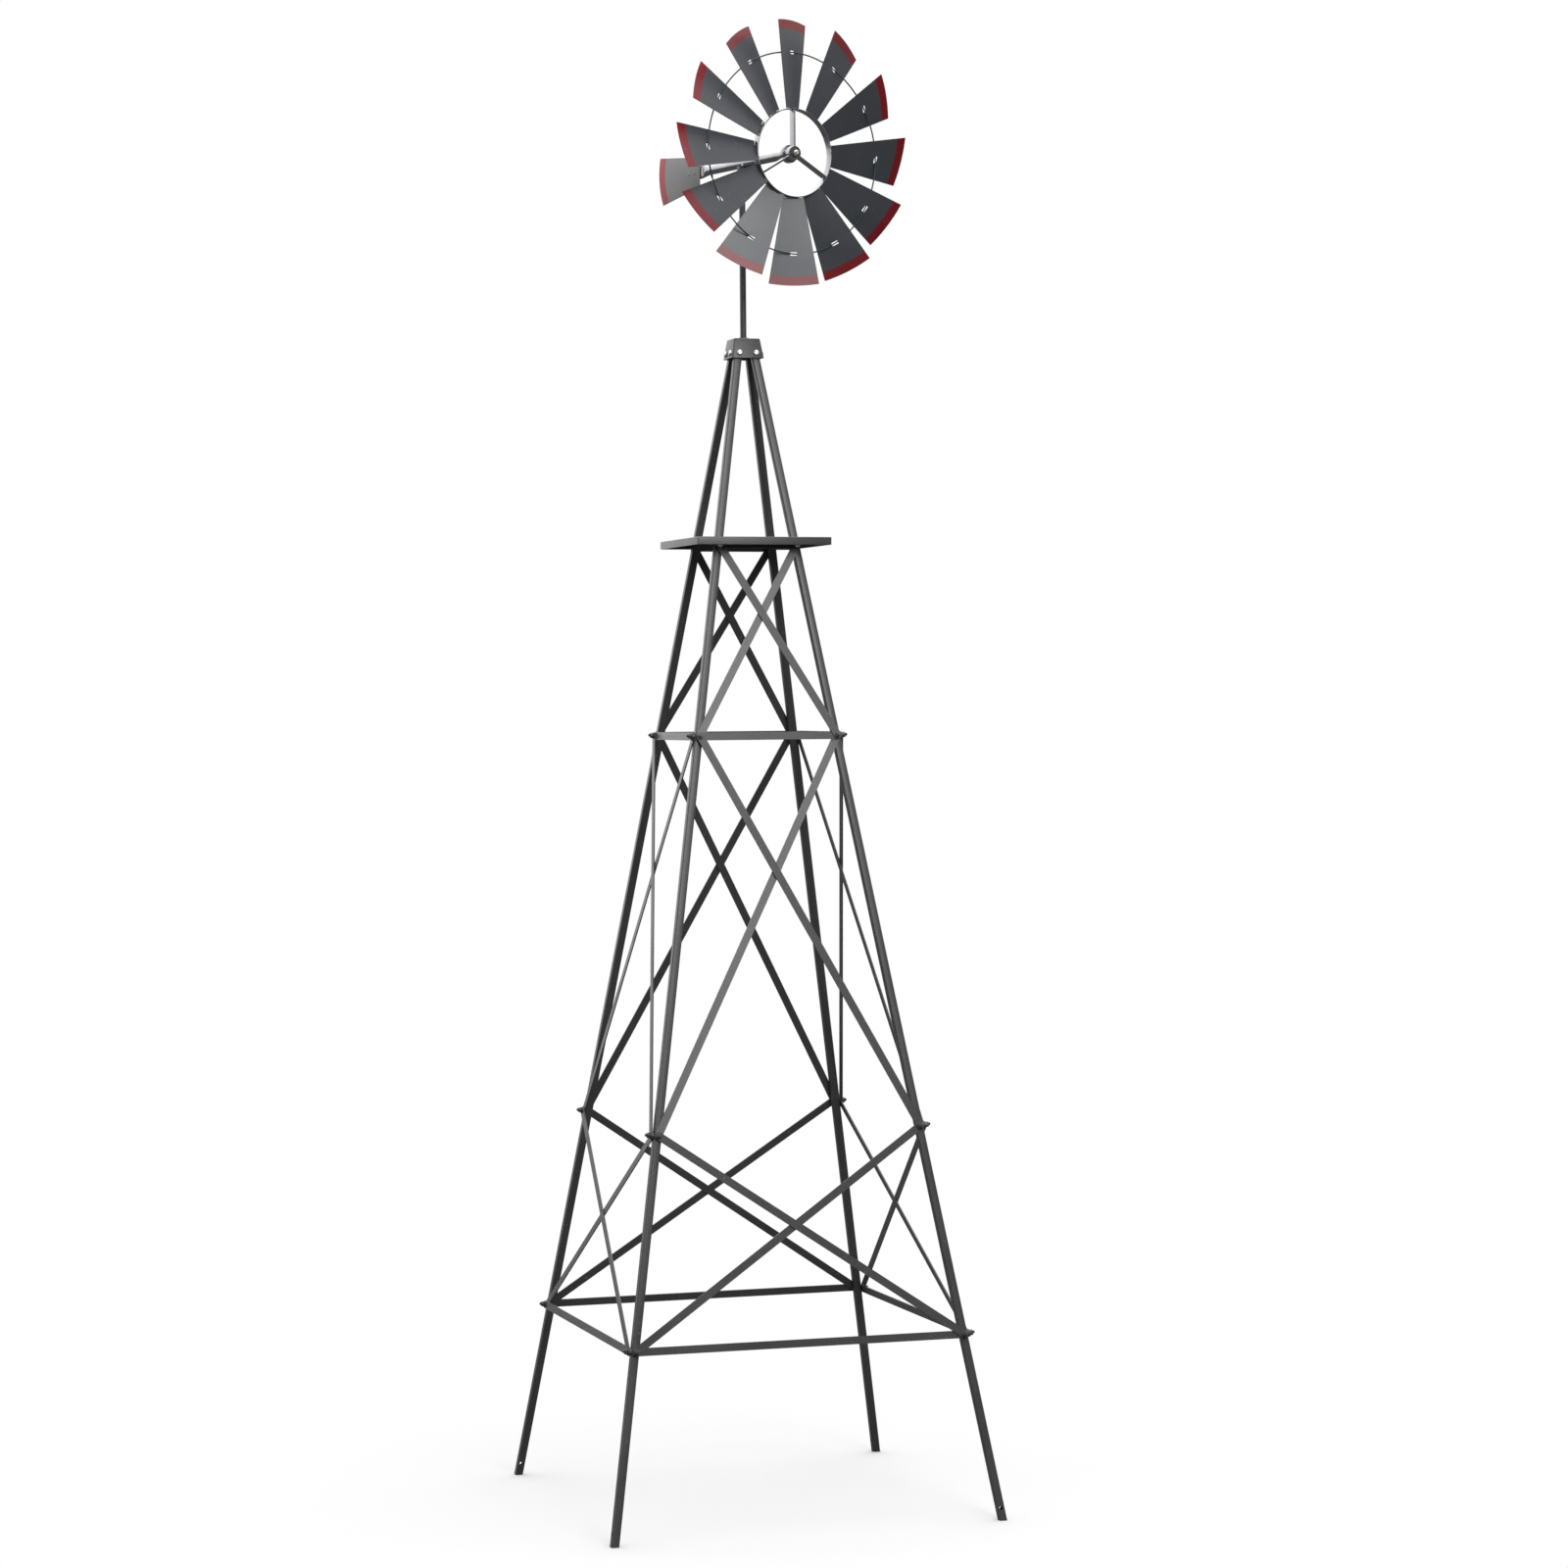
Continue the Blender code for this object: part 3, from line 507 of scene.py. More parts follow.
def settle_in(piece, place=None):
    """Moves a piece to its place in the mesh and makes its faces point outwards."""
    if place is not None:
        piece.matrix_world = place @ piece.matrix_world
    activate(piece)
    bpy.ops.object.transform_apply(location=True, rotation=True, scale=True)
    bpy.ops.object.mode_set(mode="EDIT")
    bpy.ops.mesh.select_all(action="SELECT")
    bpy.ops.mesh.remove_doubles(threshold=0.000005)
    bpy.ops.mesh.normals_make_consistent(inside=False)
    bpy.ops.object.mode_set(mode="OBJECT")


def fit_out(piece, body, material, stands_for=None, smooth=38):
    """Gives a finished piece its shading and material, puts it on its body and hides the solid it stands
    for.
    """
    activate(piece)
    bpy.ops.object.shade_smooth_by_angle(angle=math.radians(smooth))
    piece.data.materials.clear()
    piece.data.materials.append(material)
    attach(piece, body)
    if stands_for:
        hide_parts(stands_for)
    return piece


def copy_of(piece, name, place):
    """A copy with its own mesh, moved to another place."""
    twin = piece.copy()
    twin.data = piece.data.copy()
    twin.name = name
    bpy.context.scene.collection.objects.link(twin)
    settle_in(twin, place)
    return twin


def turn_up(name, sides, rings):
    """Builds a round piece upwards. A ring is a height, a half width and, if flattened, a depth."""
    deselect()
    sizes = [(ring[0], ring[1], ring[-1]) for ring in rings]
    height, wide, deep = sizes[0]
    bpy.ops.mesh.primitive_circle_add(
        vertices=sides, radius=wide, fill_type="NGON", location=(0, 0, height),
    )
    piece = bpy.context.object
    piece.name = name
    bpy.ops.object.transform_apply(location=True)
    bpy.ops.object.mode_set(mode="EDIT")
    bpy.ops.mesh.select_all(action="SELECT")
    if deep != wide:
        bpy.ops.transform.resize(value=(1, deep / wide, 1), center_override=(0, 0, height))
    for next_height, next_wide, next_deep in sizes[1:]:
        rise = {"value": (0, 0, next_height - height)}
        bpy.ops.mesh.extrude_region_move(TRANSFORM_OT_translate=rise)
        scale = (next_wide / wide, next_deep / deep, 1)
        bpy.ops.transform.resize(value=scale, center_override=(0, 0, next_height))
        height, wide, deep = next_height, next_wide, next_deep
    bpy.ops.object.mode_set(mode="OBJECT")
    return piece


def box_piece(name, size, middle=(0, 0, 0)):
    """A box of a size at a place, with its scale applied."""
    deselect()
    bpy.ops.mesh.primitive_cube_add(size=1, location=middle)
    piece = bpy.context.object
    piece.name = name
    piece.scale = size
    bpy.ops.object.transform_apply(location=True, rotation=True, scale=True)
    return piece


def rod(start, end, radius, sides=24):
    """A round cutter between two points."""
    start, end = Vector(start), Vector(end)
    deselect()
    bpy.ops.mesh.primitive_cylinder_add(vertices=sides, radius=radius, depth=(end - start).length)
    piece = bpy.context.object
    turn = (end - start).to_track_quat("Z", "Y").to_matrix().to_4x4()
    piece.matrix_world = Matrix.Translation((start + end) / 2) @ turn
    return piece


# %% [markdown]
# ## Legs
#
# A leg is a square steel tube with softly rolled corners, so it is drawn as a level square and extruded
# along its lean in one go. Its four long edges are rounded while it is still a solid bar. Then the top is
# opened, a wall is given, and a stake hole is drilled through near the foot. One leg is modelled and
# turned by quarter turns for the other three.

# %% Model the first leg and copy it
leg_lean = leg_top_low.x + leg_side - base_half_width
leg_run = Vector((leg_lean, -leg_lean, leg_top_high.z))
foot = base_half_width - leg_side / 2
deselect()
bpy.ops.mesh.primitive_plane_add(size=leg_side, location=(foot, -foot, 0))
leg = bpy.context.object
bpy.ops.object.transform_apply(location=True)
bpy.ops.object.mode_set(mode="EDIT")
bpy.ops.mesh.select_all(action="SELECT")
bpy.ops.mesh.extrude_region_move(TRANSFORM_OT_translate={"value": leg_run})
done()
edit(leg, "EDGE")
pick(leg, "edges", lambda e: abs(e.verts[0].co.z - e.verts[1].co.z) > 1)
bpy.ops.mesh.bevel(offset=0.0017, segments=4, affect="EDGES")
done()
edit(leg, "FACE")
pick(leg, "faces", lambda f: f.calc_center_median().z > 1.9)
bpy.ops.mesh.delete(type="FACE")
bpy.ops.mesh.select_all(action="SELECT")
bpy.ops.mesh.normals_make_consistent(inside=False)
done()
thicken(leg, 0.0012)
stake_height = 0.020
stake = half_width(stake_height) - leg_side / 2
cut(leg, rod((stake, -stake - 0.02, stake_height), (stake, -stake + 0.02, stake_height), 0.00325))
settle_in(leg)
print("leg faces", len(leg.data.polygons))
leg_names = ("leg_front_right", "leg_back_right", "leg_back_left", "leg_front_left")
for turns, name in enumerate(leg_names):
    tube = copy_of(leg, name + "_tube", Matrix.Rotation(turns * math.pi / 2, 4, "Z"))
    fit_out(tube, "tower", powder_coat, name)
bpy.data.objects.remove(leg)

# %% [markdown]
# ## Deck
#
# The deck is a folded sheet tray with its rim turned down. It is a flat box whose underside is opened and
# whose edges are rounded like a press-brake fold before it gets its wall. The legs pass through square
# holes, cut by the slanted shape of each leg made a millimetre wider on every side.

# %% Model the deck
deck_low, deck_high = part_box("deck")
deck_size = deck_high - deck_low
deck = box_piece("deck_tray", deck_size, (deck_low + deck_high) / 2)
edit(deck, "EDGE")
pick(deck, "edges", lambda e: (e.verts[0].co + e.verts[1].co).z / 2 > deck_low.z + 0.001)
bpy.ops.mesh.bevel(offset=0.0016, segments=4, affect="EDGES")
done()
edit(deck, "FACE")
pick(deck, "faces", lambda f: f.normal.z < -0.9)
bpy.ops.mesh.delete(type="FACE")
done()
thicken(deck, 0.0012)
for turns in range(4):
    low, high = deck_high.z - 0.004, deck_high.z + 0.004
    middle = half_width(low) - leg_side / 2
    deselect()
    bpy.ops.mesh.primitive_plane_add(size=leg_side + 0.002, location=(middle, -middle, low))
    opening = bpy.context.object
    bpy.ops.object.transform_apply(location=True)
    bpy.ops.object.mode_set(mode="EDIT")
    bpy.ops.mesh.select_all(action="SELECT")
    lean = -lean_rate * (high - low)
    bpy.ops.mesh.extrude_region_move(TRANSFORM_OT_translate={"value": (lean, -lean, high - low)})
    bpy.ops.mesh.select_all(action="SELECT")
    bpy.ops.mesh.normals_make_consistent(inside=False)
    done()
    opening.matrix_world = Matrix.Rotation(turns * math.pi / 2, 4, "Z")
    cut(deck, opening)
settle_in(deck)
fit_out(deck, "tower", powder_coat, "deck")
print("deck faces", len(deck.data.polygons))

# %% [markdown]
# ## Cap
#
# The cap is a small tapered box folded from sheet, which hides the leg tops and holds the mast. It is
# extruded from a square and scaled at the top to follow the legs' lean. The fold lines are rounded, the
# bottom is opened, and the wall goes inwards.

# %% Model the cap
cap_low, cap_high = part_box("cap")
cap_bottom_half = cap_high.x
cap_top_half = cap_bottom_half - lean_rate * (cap_high.z - cap_low.z)
deselect()
bpy.ops.mesh.primitive_plane_add(size=2 * cap_bottom_half, location=(0, 0, cap_low.z))
cap = bpy.context.object
cap.name = "cap_shell"
bpy.ops.object.transform_apply(location=True)
bpy.ops.object.mode_set(mode="EDIT")
bpy.ops.mesh.select_all(action="SELECT")
bpy.ops.mesh.extrude_region_move(TRANSFORM_OT_translate={"value": (0, 0, cap_high.z - cap_low.z)})
taper = cap_top_half / cap_bottom_half
bpy.ops.transform.resize(value=(taper, taper, 1), center_override=(0, 0, cap_high.z))
bpy.ops.mesh.select_all(action="SELECT")
bpy.ops.mesh.normals_make_consistent(inside=False)
done()
edit(cap, "EDGE")
pick(cap, "edges", lambda e: (e.verts[0].co + e.verts[1].co).z / 2 > cap_low.z + 0.001)
bpy.ops.mesh.bevel(offset=0.0022, segments=4, affect="EDGES")
done()
edit(cap, "FACE")
pick(cap, "faces", lambda f: f.normal.z < -0.9)
bpy.ops.mesh.delete(type="FACE")
done()
thicken(cap, 0.0016)
mast_radius = (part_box("mast")[1].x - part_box("mast")[0].x) / 2
cut(cap, rod((0, 0, cap_high.z - 0.005), (0, 0, cap_high.z + 0.005), mast_radius + 0.0002, 48))
settle_in(cap)
fit_out(cap, "tower", powder_coat, "cap")

# %% [markdown]
# ## Mast and its weld
#
# The mast is plain and round, so what makes it real is how it meets its neighbours: a chamfer where it
# was sawn, and a rippled weld bead on the cap. Both its ends are hidden, so it has no bore. The bead is a
# thin torus that swells and narrows along its length.

# %% Model the mast and the weld
mast_low, mast_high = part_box("mast")
mast = turn_up("mast_tube", 48, [
    (mast_low.z, mast_radius - 0.0006), (mast_low.z + 0.0006, mast_radius),
    (mast_high.z - 0.0006, mast_radius), (mast_high.z, mast_radius - 0.0006),
])
settle_in(mast)
fit_out(mast, "tower", powder_coat, "mast")


def weld_ring(name, inner, width, ripples):
    """A bead round a tube: a thin ring whose height and width wave along it."""
    deselect()
    bpy.ops.mesh.primitive_torus_add(
        major_radius=inner + width * 0.35, minor_radius=width * 0.65,
        major_segments=ripples * 4, minor_segments=10,
    )
    bead = bpy.context.object
    bead.name = name
    edit(bead, "VERT")
    mesh = bmesh.from_edit_mesh(bead.data)
    for vert in mesh.verts:
        wave = 0.5 + 0.5 * math.cos(ripples * math.atan2(vert.co.y, vert.co.x))
        spot = Vector((vert.co.x, vert.co.y, 0)).normalized() * (inner + width * 0.35)
        vert.co = spot + (vert.co - spot) * (0.82 + 0.18 * wave)
    bmesh.update_edit_mesh(bead.data)
    done()
    return bead


mast_weld = weld_ring("mast_weld", mast_radius + 0.0003, 0.0030, 18)
settle_in(mast_weld, Matrix.Translation((0, 0, cap_high.z + 0.0008)))
fit_out(mast_weld, "tower", weld_paint, smooth=180)

# %% [markdown]
# ## Swivel and boom
#
# The head turns on the mast in an upright barrel with a saddle on top that the boom lies in. The boom is
# a round tube whose tail is pressed flat to take the vane. It is turned up from a disc along its length:
# the disc keeps its size as far as the press marks, then widens one way and narrows the other.

# %% Model the swivel barrel and the boom
tee_low, tee_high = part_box("swivel_tee")
tee_radius = (tee_high.x - tee_low.x) / 2
barrel = turn_up("swivel_barrel", 48, [
    (tee_low.z, tee_radius - 0.0012), (tee_low.z + 0.0012, tee_radius),
    (tee_high.z - 0.0030, tee_radius), (tee_high.z - 0.0010, tee_radius - 0.0010),
    (tee_high.z, tee_radius - 0.0030),
])
settle_in(barrel)
cut(barrel, rod((0, 0, tee_low.z - 0.01), (0, 0, mast_high.z + 0.0003), mast_radius + 0.0003, 48))
boom_radius = 0.0078
boom_start = head_place @ Vector((0, -0.2, 0))
boom_end = head_place @ Vector((0, 0.2, 0))
cut(barrel, rod(boom_start, boom_end, boom_radius + 0.0002, 48))
settle_in(barrel)
fit_out(barrel, "head", powder_coat, "swivel_tee")

back_to_front = [(head_place.inverted() @ Vector(v.co)).y for v in frame["nodes"]["boom"].data.vertices]
boom_front, boom_tail = -min(back_to_front), -max(back_to_front)
press_start, press_end = -0.100, -0.124
tail_half_thickness, tail_half_height = 0.0015, 0.0110
rings = [
    (boom_front, boom_radius - 0.0005), (boom_front - 0.0005, boom_radius),
    (press_start, boom_radius),
]
for step in range(1, 9):
    share = step / 8
    ease = share * share * (3 - 2 * share)
    height = press_start + share * (press_end - press_start)
    thin = boom_radius + ease * (tail_half_thickness - boom_radius)
    tall = boom_radius + ease * (tail_half_height - boom_radius)
    rings.append((height, thin, tall))
rings.append((boom_tail + 0.002, tail_half_thickness, tail_half_height))
rings.append((boom_tail, 0.0012, 0.0090))
boom = turn_up("boom_tube", 40, rings)
settle_in(boom, head_place @ lying_forward)
fit_out(boom, "head", satin_steel, "boom")

# %% [markdown]
# ## Bearing, axle and hub
#
# The wheel turns on a bolt held by a flanged plug in the boom's end. Each of these is a turned part, so
# each is built upwards in small steps that give it its chamfers. The bolt's head is a domed button with
# a socket for the key.

# %% Model the bearing housing, the axle bolt and its washer
def depth_range(name):
    """How far ahead of the mast a head piece starts and ends."""
    far = [-(head_place.inverted() @ Vector(v.co)).y for v in frame["nodes"][name].data.vertices]
    return min(far), max(far)


flange_front = depth_range("bearing_housing")[1]
flange_back = flange_front - 0.008
housing = turn_up("bearing_cup", 48, [
    (flange_back - 0.006, 0.0060), (flange_back, 0.0060),
    (flange_back, 0.0142), (flange_back + 0.0008, 0.0150),
    (flange_front - 0.0008, 0.0150), (flange_front, 0.0142),
])
cut(housing, rod((0, 0, flange_back - 0.02), (0, 0, flange_front + 0.02), 0.0043, 40))
settle_in(housing, head_place @ lying_forward)
fit_out(housing, "head", satin_steel, "bearing_housing")

axle_back, axle_front = depth_range("axle_bolt")
head_seat = axle_front - 0.0045
axle = turn_up("axle_button_bolt", 40, [
    (axle_back, 0.0035), (axle_back + 0.0005, 0.0040), (head_seat, 0.0040), (head_seat, 0.0045),
    (head_seat + 0.0003, 0.00475), (head_seat + 0.0015, 0.0047), (head_seat + 0.0028, 0.0042),
    (head_seat + 0.0038, 0.0033), (axle_front, 0.0025), (axle_front, 0.0020),
])
socket_key = turn_up("socket", 6, [(axle_front - 0.0024, 0.0021), (axle_front + 0.002, 0.0021)])
cut(axle, socket_key)
settle_in(axle, head_place @ lying_forward)
fit_out(axle, "head", zinc, "axle_bolt")

washer_back, washer_front = depth_range("axle_washer")
washer = turn_up("axle_flat_washer", 48, [
    (washer_back, 0.0073), (washer_back + 0.0002, 0.0075),
    (washer_front - 0.0002, 0.0075), (washer_front, 0.0073),
])
cut(washer, rod((0, 0, washer_back - 0.01), (0, 0, washer_front + 0.01), 0.0042, 40))
settle_in(washer, head_place @ lying_forward)
fit_out(washer, "head", powder_coat, "axle_washer")

# %% [markdown]
# ## Hub and spokes
#
# The hub is a short barrel with three flat bars on edge. Barrel and bars are joined into one piece, as if
# welded, and no weld beads are drawn.

# %% Model the hub and spokes
hub_half = 0.007
hub_radius = 0.0118
hub = turn_up("wheel_hub_spider", 48, [
    (-hub_half, hub_radius - 0.0008), (-hub_half + 0.0008, hub_radius),
    (hub_half - 0.0008, hub_radius), (hub_half, hub_radius - 0.0008),
])
cut(hub, rod((0, 0, -0.02), (0, 0, 0.02), 0.0066, 40))
ring_inner, ring_sheet, ring_depth = 0.0710, 0.0018, 0.013
spoke_thickness, spoke_depth = 0.0035, 0.012
spoke_start, spoke_end = hub_radius - 0.001, ring_inner - 0.0006
for turn in range(3):
    spoke_size = (spoke_thickness, spoke_end - spoke_start, spoke_depth)
    spoke = box_piece("spoke", spoke_size, (0, (spoke_start + spoke_end) / 2, 0))
    round_edges(spoke, 0.0005, 3)
    spoke.matrix_world = Matrix.Rotation(turn * math.tau / 3, 4, "Z")
    cut(hub, spoke, "UNION")
settle_in(hub, wheel_place @ lying_forward)
fit_out(hub, "wheel", satin_steel, "wheel_spider")

# %% [markdown]
# ## Inner ring and wire hoop
#
# The inner ring is a band rolled from strip, so it is an open cylinder with a wall and eased edges. The
# hoop is wire, closed by a short butt sleeve. It threads through the slot in every blade and steadies
# them.

# %% Model the inner ring and the wire hoop
deselect()
bpy.ops.mesh.primitive_cylinder_add(
    vertices=128, radius=ring_inner + ring_sheet, depth=ring_depth, end_fill_type="NOTHING",
)
band = bpy.context.object
band.name = "inner_ring_band"
thicken(band, ring_sheet)
round_edges(band, 0.0004, 2)
settle_in(band, wheel_place @ lying_forward)
fit_out(band, "wheel", satin_steel, "inner_ring")

wire_radius, wire_half = 0.1643, 0.0012
deselect()
bpy.ops.mesh.primitive_torus_add(
    major_radius=wire_radius, minor_radius=wire_half, major_segments=160, minor_segments=12,
)
hoop = bpy.context.object
hoop.name = "wire_hoop_ring"
sleeve = turn_up("sleeve", 16, [
    (-0.007, wire_half), (-0.0066, 0.0018), (0.0066, 0.0018), (0.007, wire_half),
])
round_the_wheel = Matrix.Rotation(math.radians(195), 4, "Z")
out_to_wire = Matrix.Translation((wire_radius, 0, 0))
sleeve.matrix_world = round_the_wheel @ out_to_wire @ Matrix.Rotation(math.pi / 2, 4, "X")
cut(hoop, sleeve, "UNION")
settle_in(hoop, wheel_place @ lying_forward)
fit_out(hoop, "wheel", wire_paint, "wire_hoop")

# %% [markdown]
# ## Blades
#
# A blade is a flat piece of sheet that widens and twists towards its tip. It starts as a grid. Each row
# is scaled to the width of the blade there and turned to its pitch, then the sheet gets its thickness.
# The curved ends come from the wheel itself: the blade is trimmed by a disc as large as the wheel and
# by one just larger than the inner ring. Last comes the slot for the hoop.

# %% Model one blade
root_radius = ring_inner + ring_sheet + 0.0006
root_chord, tip_chord = 0.0355, 0.085
root_pitch, tip_pitch = math.radians(22), math.radians(25)
grid_low, grid_high = root_radius - 0.004, tip_radius + 0.0015
rows = 18
deselect()
bpy.ops.mesh.primitive_grid_add(x_subdivisions=10, y_subdivisions=rows, size=1)
blade = bpy.context.object
blade.scale = (1, grid_high - grid_low, 1)
blade.rotation_euler = (math.pi / 2, 0, 0)
blade.location = (0, 0, (grid_low + grid_high) / 2)
bpy.ops.object.transform_apply(location=True, rotation=True, scale=True)
edit(blade, "VERT")
for row in range(rows + 1):
    radius = grid_low + (grid_high - grid_low) * row / rows
    share = (radius - root_radius) / (tip_radius - root_radius)
    chord = root_chord + share * (tip_chord - root_chord)
    row_pitch = root_pitch + share * (tip_pitch - root_pitch)
    bpy.ops.mesh.select_all(action="DESELECT")
    pick(blade, "verts", lambda v: abs(v.co.z - radius) < 0.0005)
    middle = (0, 0, radius)
    bpy.ops.transform.resize(value=(chord, 1, 1), center_override=middle)
    bpy.ops.transform.rotate(value=row_pitch, orient_axis="Z", center_override=middle)
done()
edge = max(blade.data.vertices, key=lambda v: v.co.x + v.co.z)
if edge.co.y < 0:
    blade.scale = (1, -1, 1)
    activate(blade)
    bpy.ops.object.transform_apply(scale=True)
edge = max(blade.data.vertices, key=lambda v: v.co.x + v.co.z)
print("blade corner", [round(c, 4) for c in edge.co])
thicken(blade, 0.001, 0)
cut(blade, rod((0, -0.1, 0), (0, 0.1, 0), tip_radius, 192), "INTERSECT")
cut(blade, rod((0, -0.1, 0), (0, 0.1, 0), root_radius, 96))
slot_width, slot_height = 0.0114, 0.0058
slot_cutter = box_piece("slot_cutter", (slot_width, 0.03, slot_height))
edit(slot_cutter, "EDGE")
pick(slot_cutter, "edges", lambda e: abs(e.verts[0].co.y - e.verts[1].co.y) > 0.01)
bpy.ops.mesh.bevel(offset=0.0012, segments=3, affect="EDGES")
done()
slot_share = (wire_radius - root_radius) / (tip_radius - root_radius)
slot_pitch = root_pitch + slot_share * (tip_pitch - root_pitch)
slot_cutter.matrix_world = Matrix.Translation((0, 0, wire_radius)) @ Matrix.Rotation(slot_pitch, 4, "Z")
cut(blade, slot_cutter)
settle_in(blade)
print("blade faces", len(blade.data.polygons))

# %% [markdown]
# Each blade is welded to the ring by a short bead along its root, on the front. The blade is then copied
# round the wheel in twelve equal steps.

# %% Copy the blades round the wheel with their root welds
bead_rings = []
for step in range(25):
    wide = 0.0009 + 0.0002 * math.cos(step * math.tau / 3)
    bead_rings.append((-0.010 + step * 0.020 / 24, wide if 0 < step < 24 else 0.0003))
bead = turn_up("root_bead", 10, bead_rings)
lean_to_blade = Matrix.Rotation(root_pitch, 4, "Z") @ Matrix.Rotation(math.pi / 2, 4, "Y")
settle_in(bead, Matrix.Translation((0, -0.0010, root_radius + 0.0003)) @ lean_to_blade)
for index in range(12):
    turn = Matrix.Rotation(index * math.tau / 12, 4, "Y")
    sheet = copy_of(blade, f"blade_sheet_{index + 1:02d}", wheel_place @ turn)
    fit_out(sheet, "wheel", blade_enamel, f"blade_{index + 1:02d}", 30)
    weld = copy_of(bead, f"blade_weld_{index + 1:02d}", wheel_place @ turn)
    fit_out(weld, "wheel", weld_paint, smooth=180)
bpy.data.objects.remove(blade)
bpy.data.objects.remove(bead)

# %% [markdown]
# ## Tail vane
#
# The vane is a tapered plate on the left of the boom's flattened end, with a bowed rear edge. The plate
# is a thin box whose rear corners are moved apart, and the bow is cut by a large disc. The red band is
# painted by distance from that disc's axis. Two rivets with low domed heads hold the plate.

# %% Model the vane and its rivets
vane_front, vane_rear = -depth_range("tail_vane")[1], -depth_range("tail_vane")[0]
rear_top, rear_bottom, bulge = Vector((0, 0.2518, 0.0372)), Vector((0, 0.2436, -0.0442)), 0.0076
edge_run = rear_bottom - rear_top
bow_radius = ((edge_run.length / 2) ** 2 + bulge ** 2) / (2 * bulge)
outward = Vector((0, -edge_run.z, edge_run.y)).normalized()
bow_center = (rear_top + rear_bottom) / 2 + outward * (bulge - bow_radius)
vane_x = -0.0024
front_half = 0.0253
past = vane_rear + 0.003
vane_sheet = 0.0012
plate_size = (vane_sheet, past - vane_front, 2 * front_half)
vane = box_piece("vane_plate", plate_size, (vane_x, (vane_front + past) / 2, 0))
for corner in (rear_top, rear_bottom):
    side = math.copysign(1, corner.z)
    slope = (abs(corner.z) - front_half) / (corner.y - vane_front)
    edit(vane, "VERT")
    pick(vane, "verts", lambda v: v.co.y > vane_front + 0.01 and v.co.z * side > 0)
    bpy.ops.transform.translate(value=(0, 0, side * slope * (past - vane_front)))
    done()
disc_ends = [Vector((vane_x + reach, bow_center.y, bow_center.z)) for reach in (-0.05, 0.05)]
cut(vane, rod(*disc_ends, bow_radius, 192), "INTERSECT")
round_edges(vane, 0.0003, 2, 50)
settle_in(vane, head_place)
bow_axis = head_place.to_3x3() @ Vector((1, 0, 0))
band_start = bow_radius - 0.019
add_band(vane_enamel, head_place @ bow_center, bow_axis, band_start, (0.36, 0.05, 0.065))
fit_out(vane, "head", vane_enamel, "tail_vane", 30)

rivet = turn_up("rivet", 24, [
    (-0.0012, 0.0014), (0.0012, 0.0014), (0.0012, 0.0030),
    (0.0016, 0.0029), (0.0019, 0.0022), (0.0020, 0.0010),
])
for index, back in enumerate((0.143, 0.161)):
    place = head_place @ Matrix.Translation((vane_x, back, 0)) @ Matrix.Rotation(-math.pi / 2, 4, "Y")
    pin = copy_of(rivet, f"vane_rivet_{index + 1}", place @ Matrix.Translation((0, 0, -0.0004)))
    fit_out(pin, "head", vane_enamel)
bpy.data.objects.remove(rivet)

# %% [markdown]
# ## Nuts and bolts
#
# Where strips cross a leg, a stud comes out through them and takes a washer and a hex nut. The stud's
# thread is stacked up from a disc in small steps. The nut is a six-sided disc whose corners are chamfered
# by narrowing its first and last steps. One set is modelled, painted with the tower, and copied to each
# joint, where it stands square to the leaning face. The deck bars and the cap have plated screws with a
# crossed slot instead, and the boom has a smaller one.

# %% Model one nut, washer and stud, and one screw head
def threaded(name, radius, start, length, pitch=0.0008):
    """A stud with ridges all the way up and a chamfered end."""
    rings = [(start, radius)]
    steps = int(length / pitch)
    for step in range(steps):
        rings.append((start + (step + 0.5) * pitch, radius - 0.00035))
        rings.append((start + (step + 1) * pitch, radius))
    rings.append((start + steps * pitch + 0.0006, radius * 0.72))
    return turn_up(name, 16, rings)


stud = threaded("joint_bolt", 0.00245, -0.0005, 0.0088)
flat = turn_up("flat", 32, [(0.0, 0.0053), (0.0002, 0.0055), (0.0010, 0.0055), (0.0012, 0.0053)])
nut = turn_up("nut", 6, [(0.0014, 0.0044), (0.0019, 0.00465), (0.0052, 0.00465), (0.0057, 0.0044)])
cut(stud, flat, "UNION")
cut(stud, nut, "UNION")
settle_in(stud)
pan_head = turn_up("pan_head", 28, [
    (-0.0005, 0.0024), (0.0, 0.0024), (0.0, 0.0046), (0.0004, 0.0049),
    (0.0016, 0.0048), (0.0026, 0.0040), (0.0031, 0.0024),
])
for turn in (0, math.pi / 2):
    slot_box = box_piece("slot_box", (0.0046, 0.0009, 0.002), (0, 0, 0.0031))
    slot_box.matrix_world = Matrix.Rotation(turn, 4, "Z")
    cut(pan_head, slot_box)
settle_in(pan_head)
print("bolt faces", len(stud.data.polygons), "pan head faces", len(pan_head.data.polygons))

# %% [markdown]
# The strips lie in layers outside the legs, two at most joints and three where the front and back bays
# meet. Each bolt starts at the outermost strip, so its place is the leg's face plus those layers.

# %% Place the hardware on the tower
face_lean = math.atan(lean_rate)
layer_pitch = 0.0024


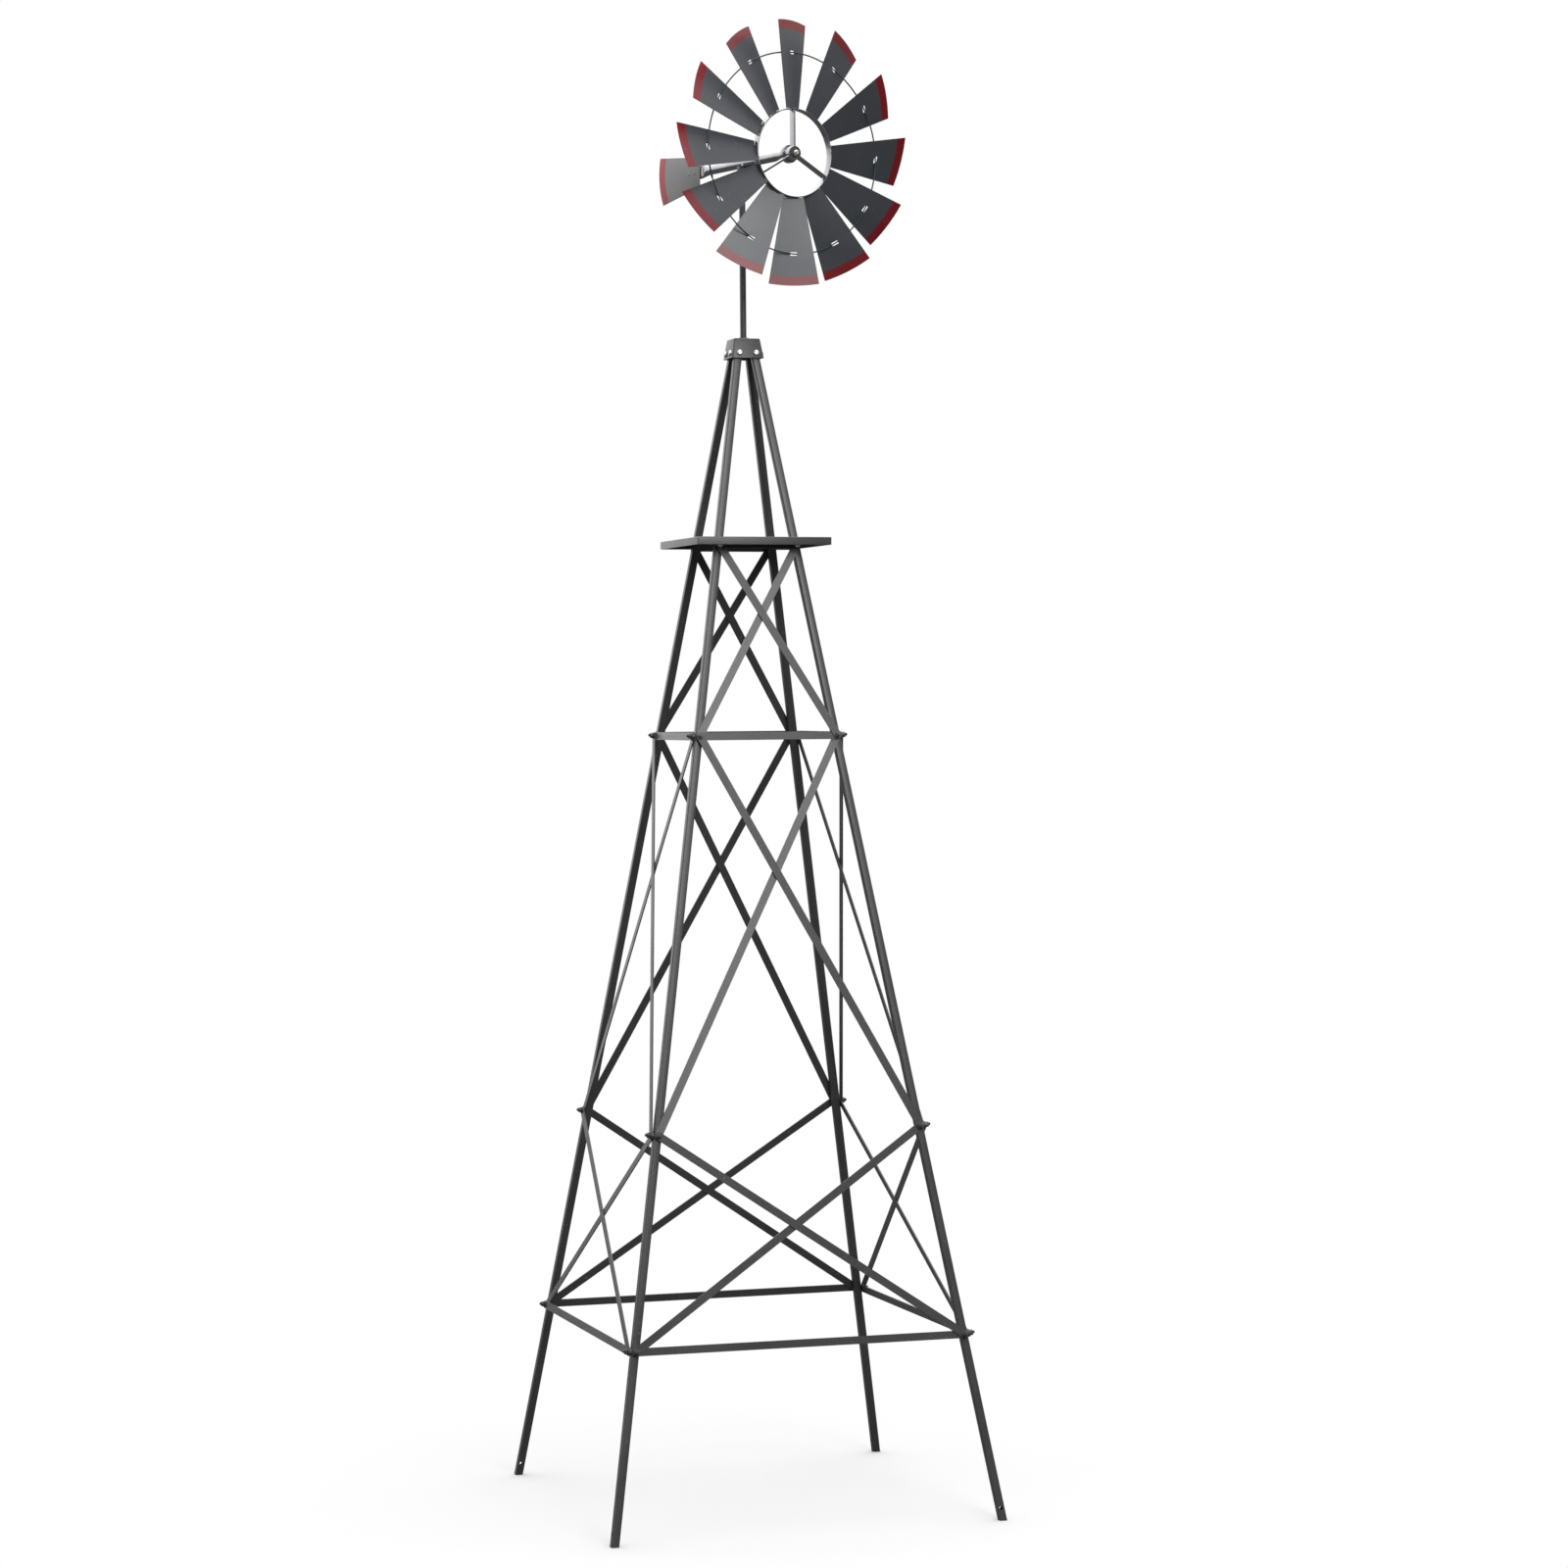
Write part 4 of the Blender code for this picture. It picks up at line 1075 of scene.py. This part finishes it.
def on_face(turns, side, height, layers):
    """A place on the outside of one tower face, over a leg, looking squarely out."""
    across = side * (half_width(height) - leg_side / 2)
    out = Matrix.Rotation(math.pi / 2 - face_lean, 4, "X")
    on_leg = Matrix.Translation((across, -half_width(height), height))
    spot = on_leg @ out @ Matrix.Translation((0, 0, layers * layer_pitch))
    return Matrix.Rotation(turns * math.pi / 2, 4, "Z") @ spot


lower_joint, middle_joint, upper_joint, deck_joint, cap_joint = 0.299, 0.636, 1.275, 1.590, 1.9105
cap_stand_off = 0.0058
face_names = ("front", "right", "back", "left")
hands = ((-1, "left"), (1, "right"))
count = 0


def next_twist():
    """Each bolt is turned 0.4 radians further than the one before."""
    return Matrix.Rotation(0.4 * count, 4, "Z")


for turns, face in enumerate(face_names):
    upper_layers = 3 if face in ("front", "back") else 2
    rows_of_bolts = (
        ("lower", lower_joint, 2), ("middle", middle_joint, 2), ("upper", upper_joint, upper_layers),
    )
    for row, height, layers in rows_of_bolts:
        for side, hand in hands:
            place = on_face(turns, side, height, layers) @ next_twist()
            bolt = copy_of(stud, f"{row}_bolt_{face}_{hand}", place)
            fit_out(bolt, "tower", powder_coat)
            count += 1
    if face in ("front", "back"):
        for side, hand in hands:
            place = on_face(turns, side, deck_joint, 3) @ next_twist()
            bolt = copy_of(pan_head, f"deck_bolt_{face}_{hand}", place)
            fit_out(bolt, "tower", zinc)
            count += 1
    for side, hand in hands:
        place = on_face(turns, side, cap_joint, 0) @ Matrix.Translation((0, 0, cap_stand_off))
        bolt = copy_of(pan_head, f"cap_bolt_{face}_{hand}", place @ next_twist())
        fit_out(bolt, "tower", zinc)
        count += 1
grip = head_place @ Matrix.Translation((-boom_radius * 0.86, -0.012, -0.0042))
grip = grip @ Matrix.Rotation(-math.pi / 2 - 0.5, 4, "Y")
grip = grip @ Matrix.Scale(0.5, 4)
boom_screw = copy_of(pan_head, "boom_screw", grip)
fit_out(boom_screw, "head", zinc)
bpy.data.objects.remove(stud)
bpy.data.objects.remove(pan_head)
print("placed", count + 1, "bolts")
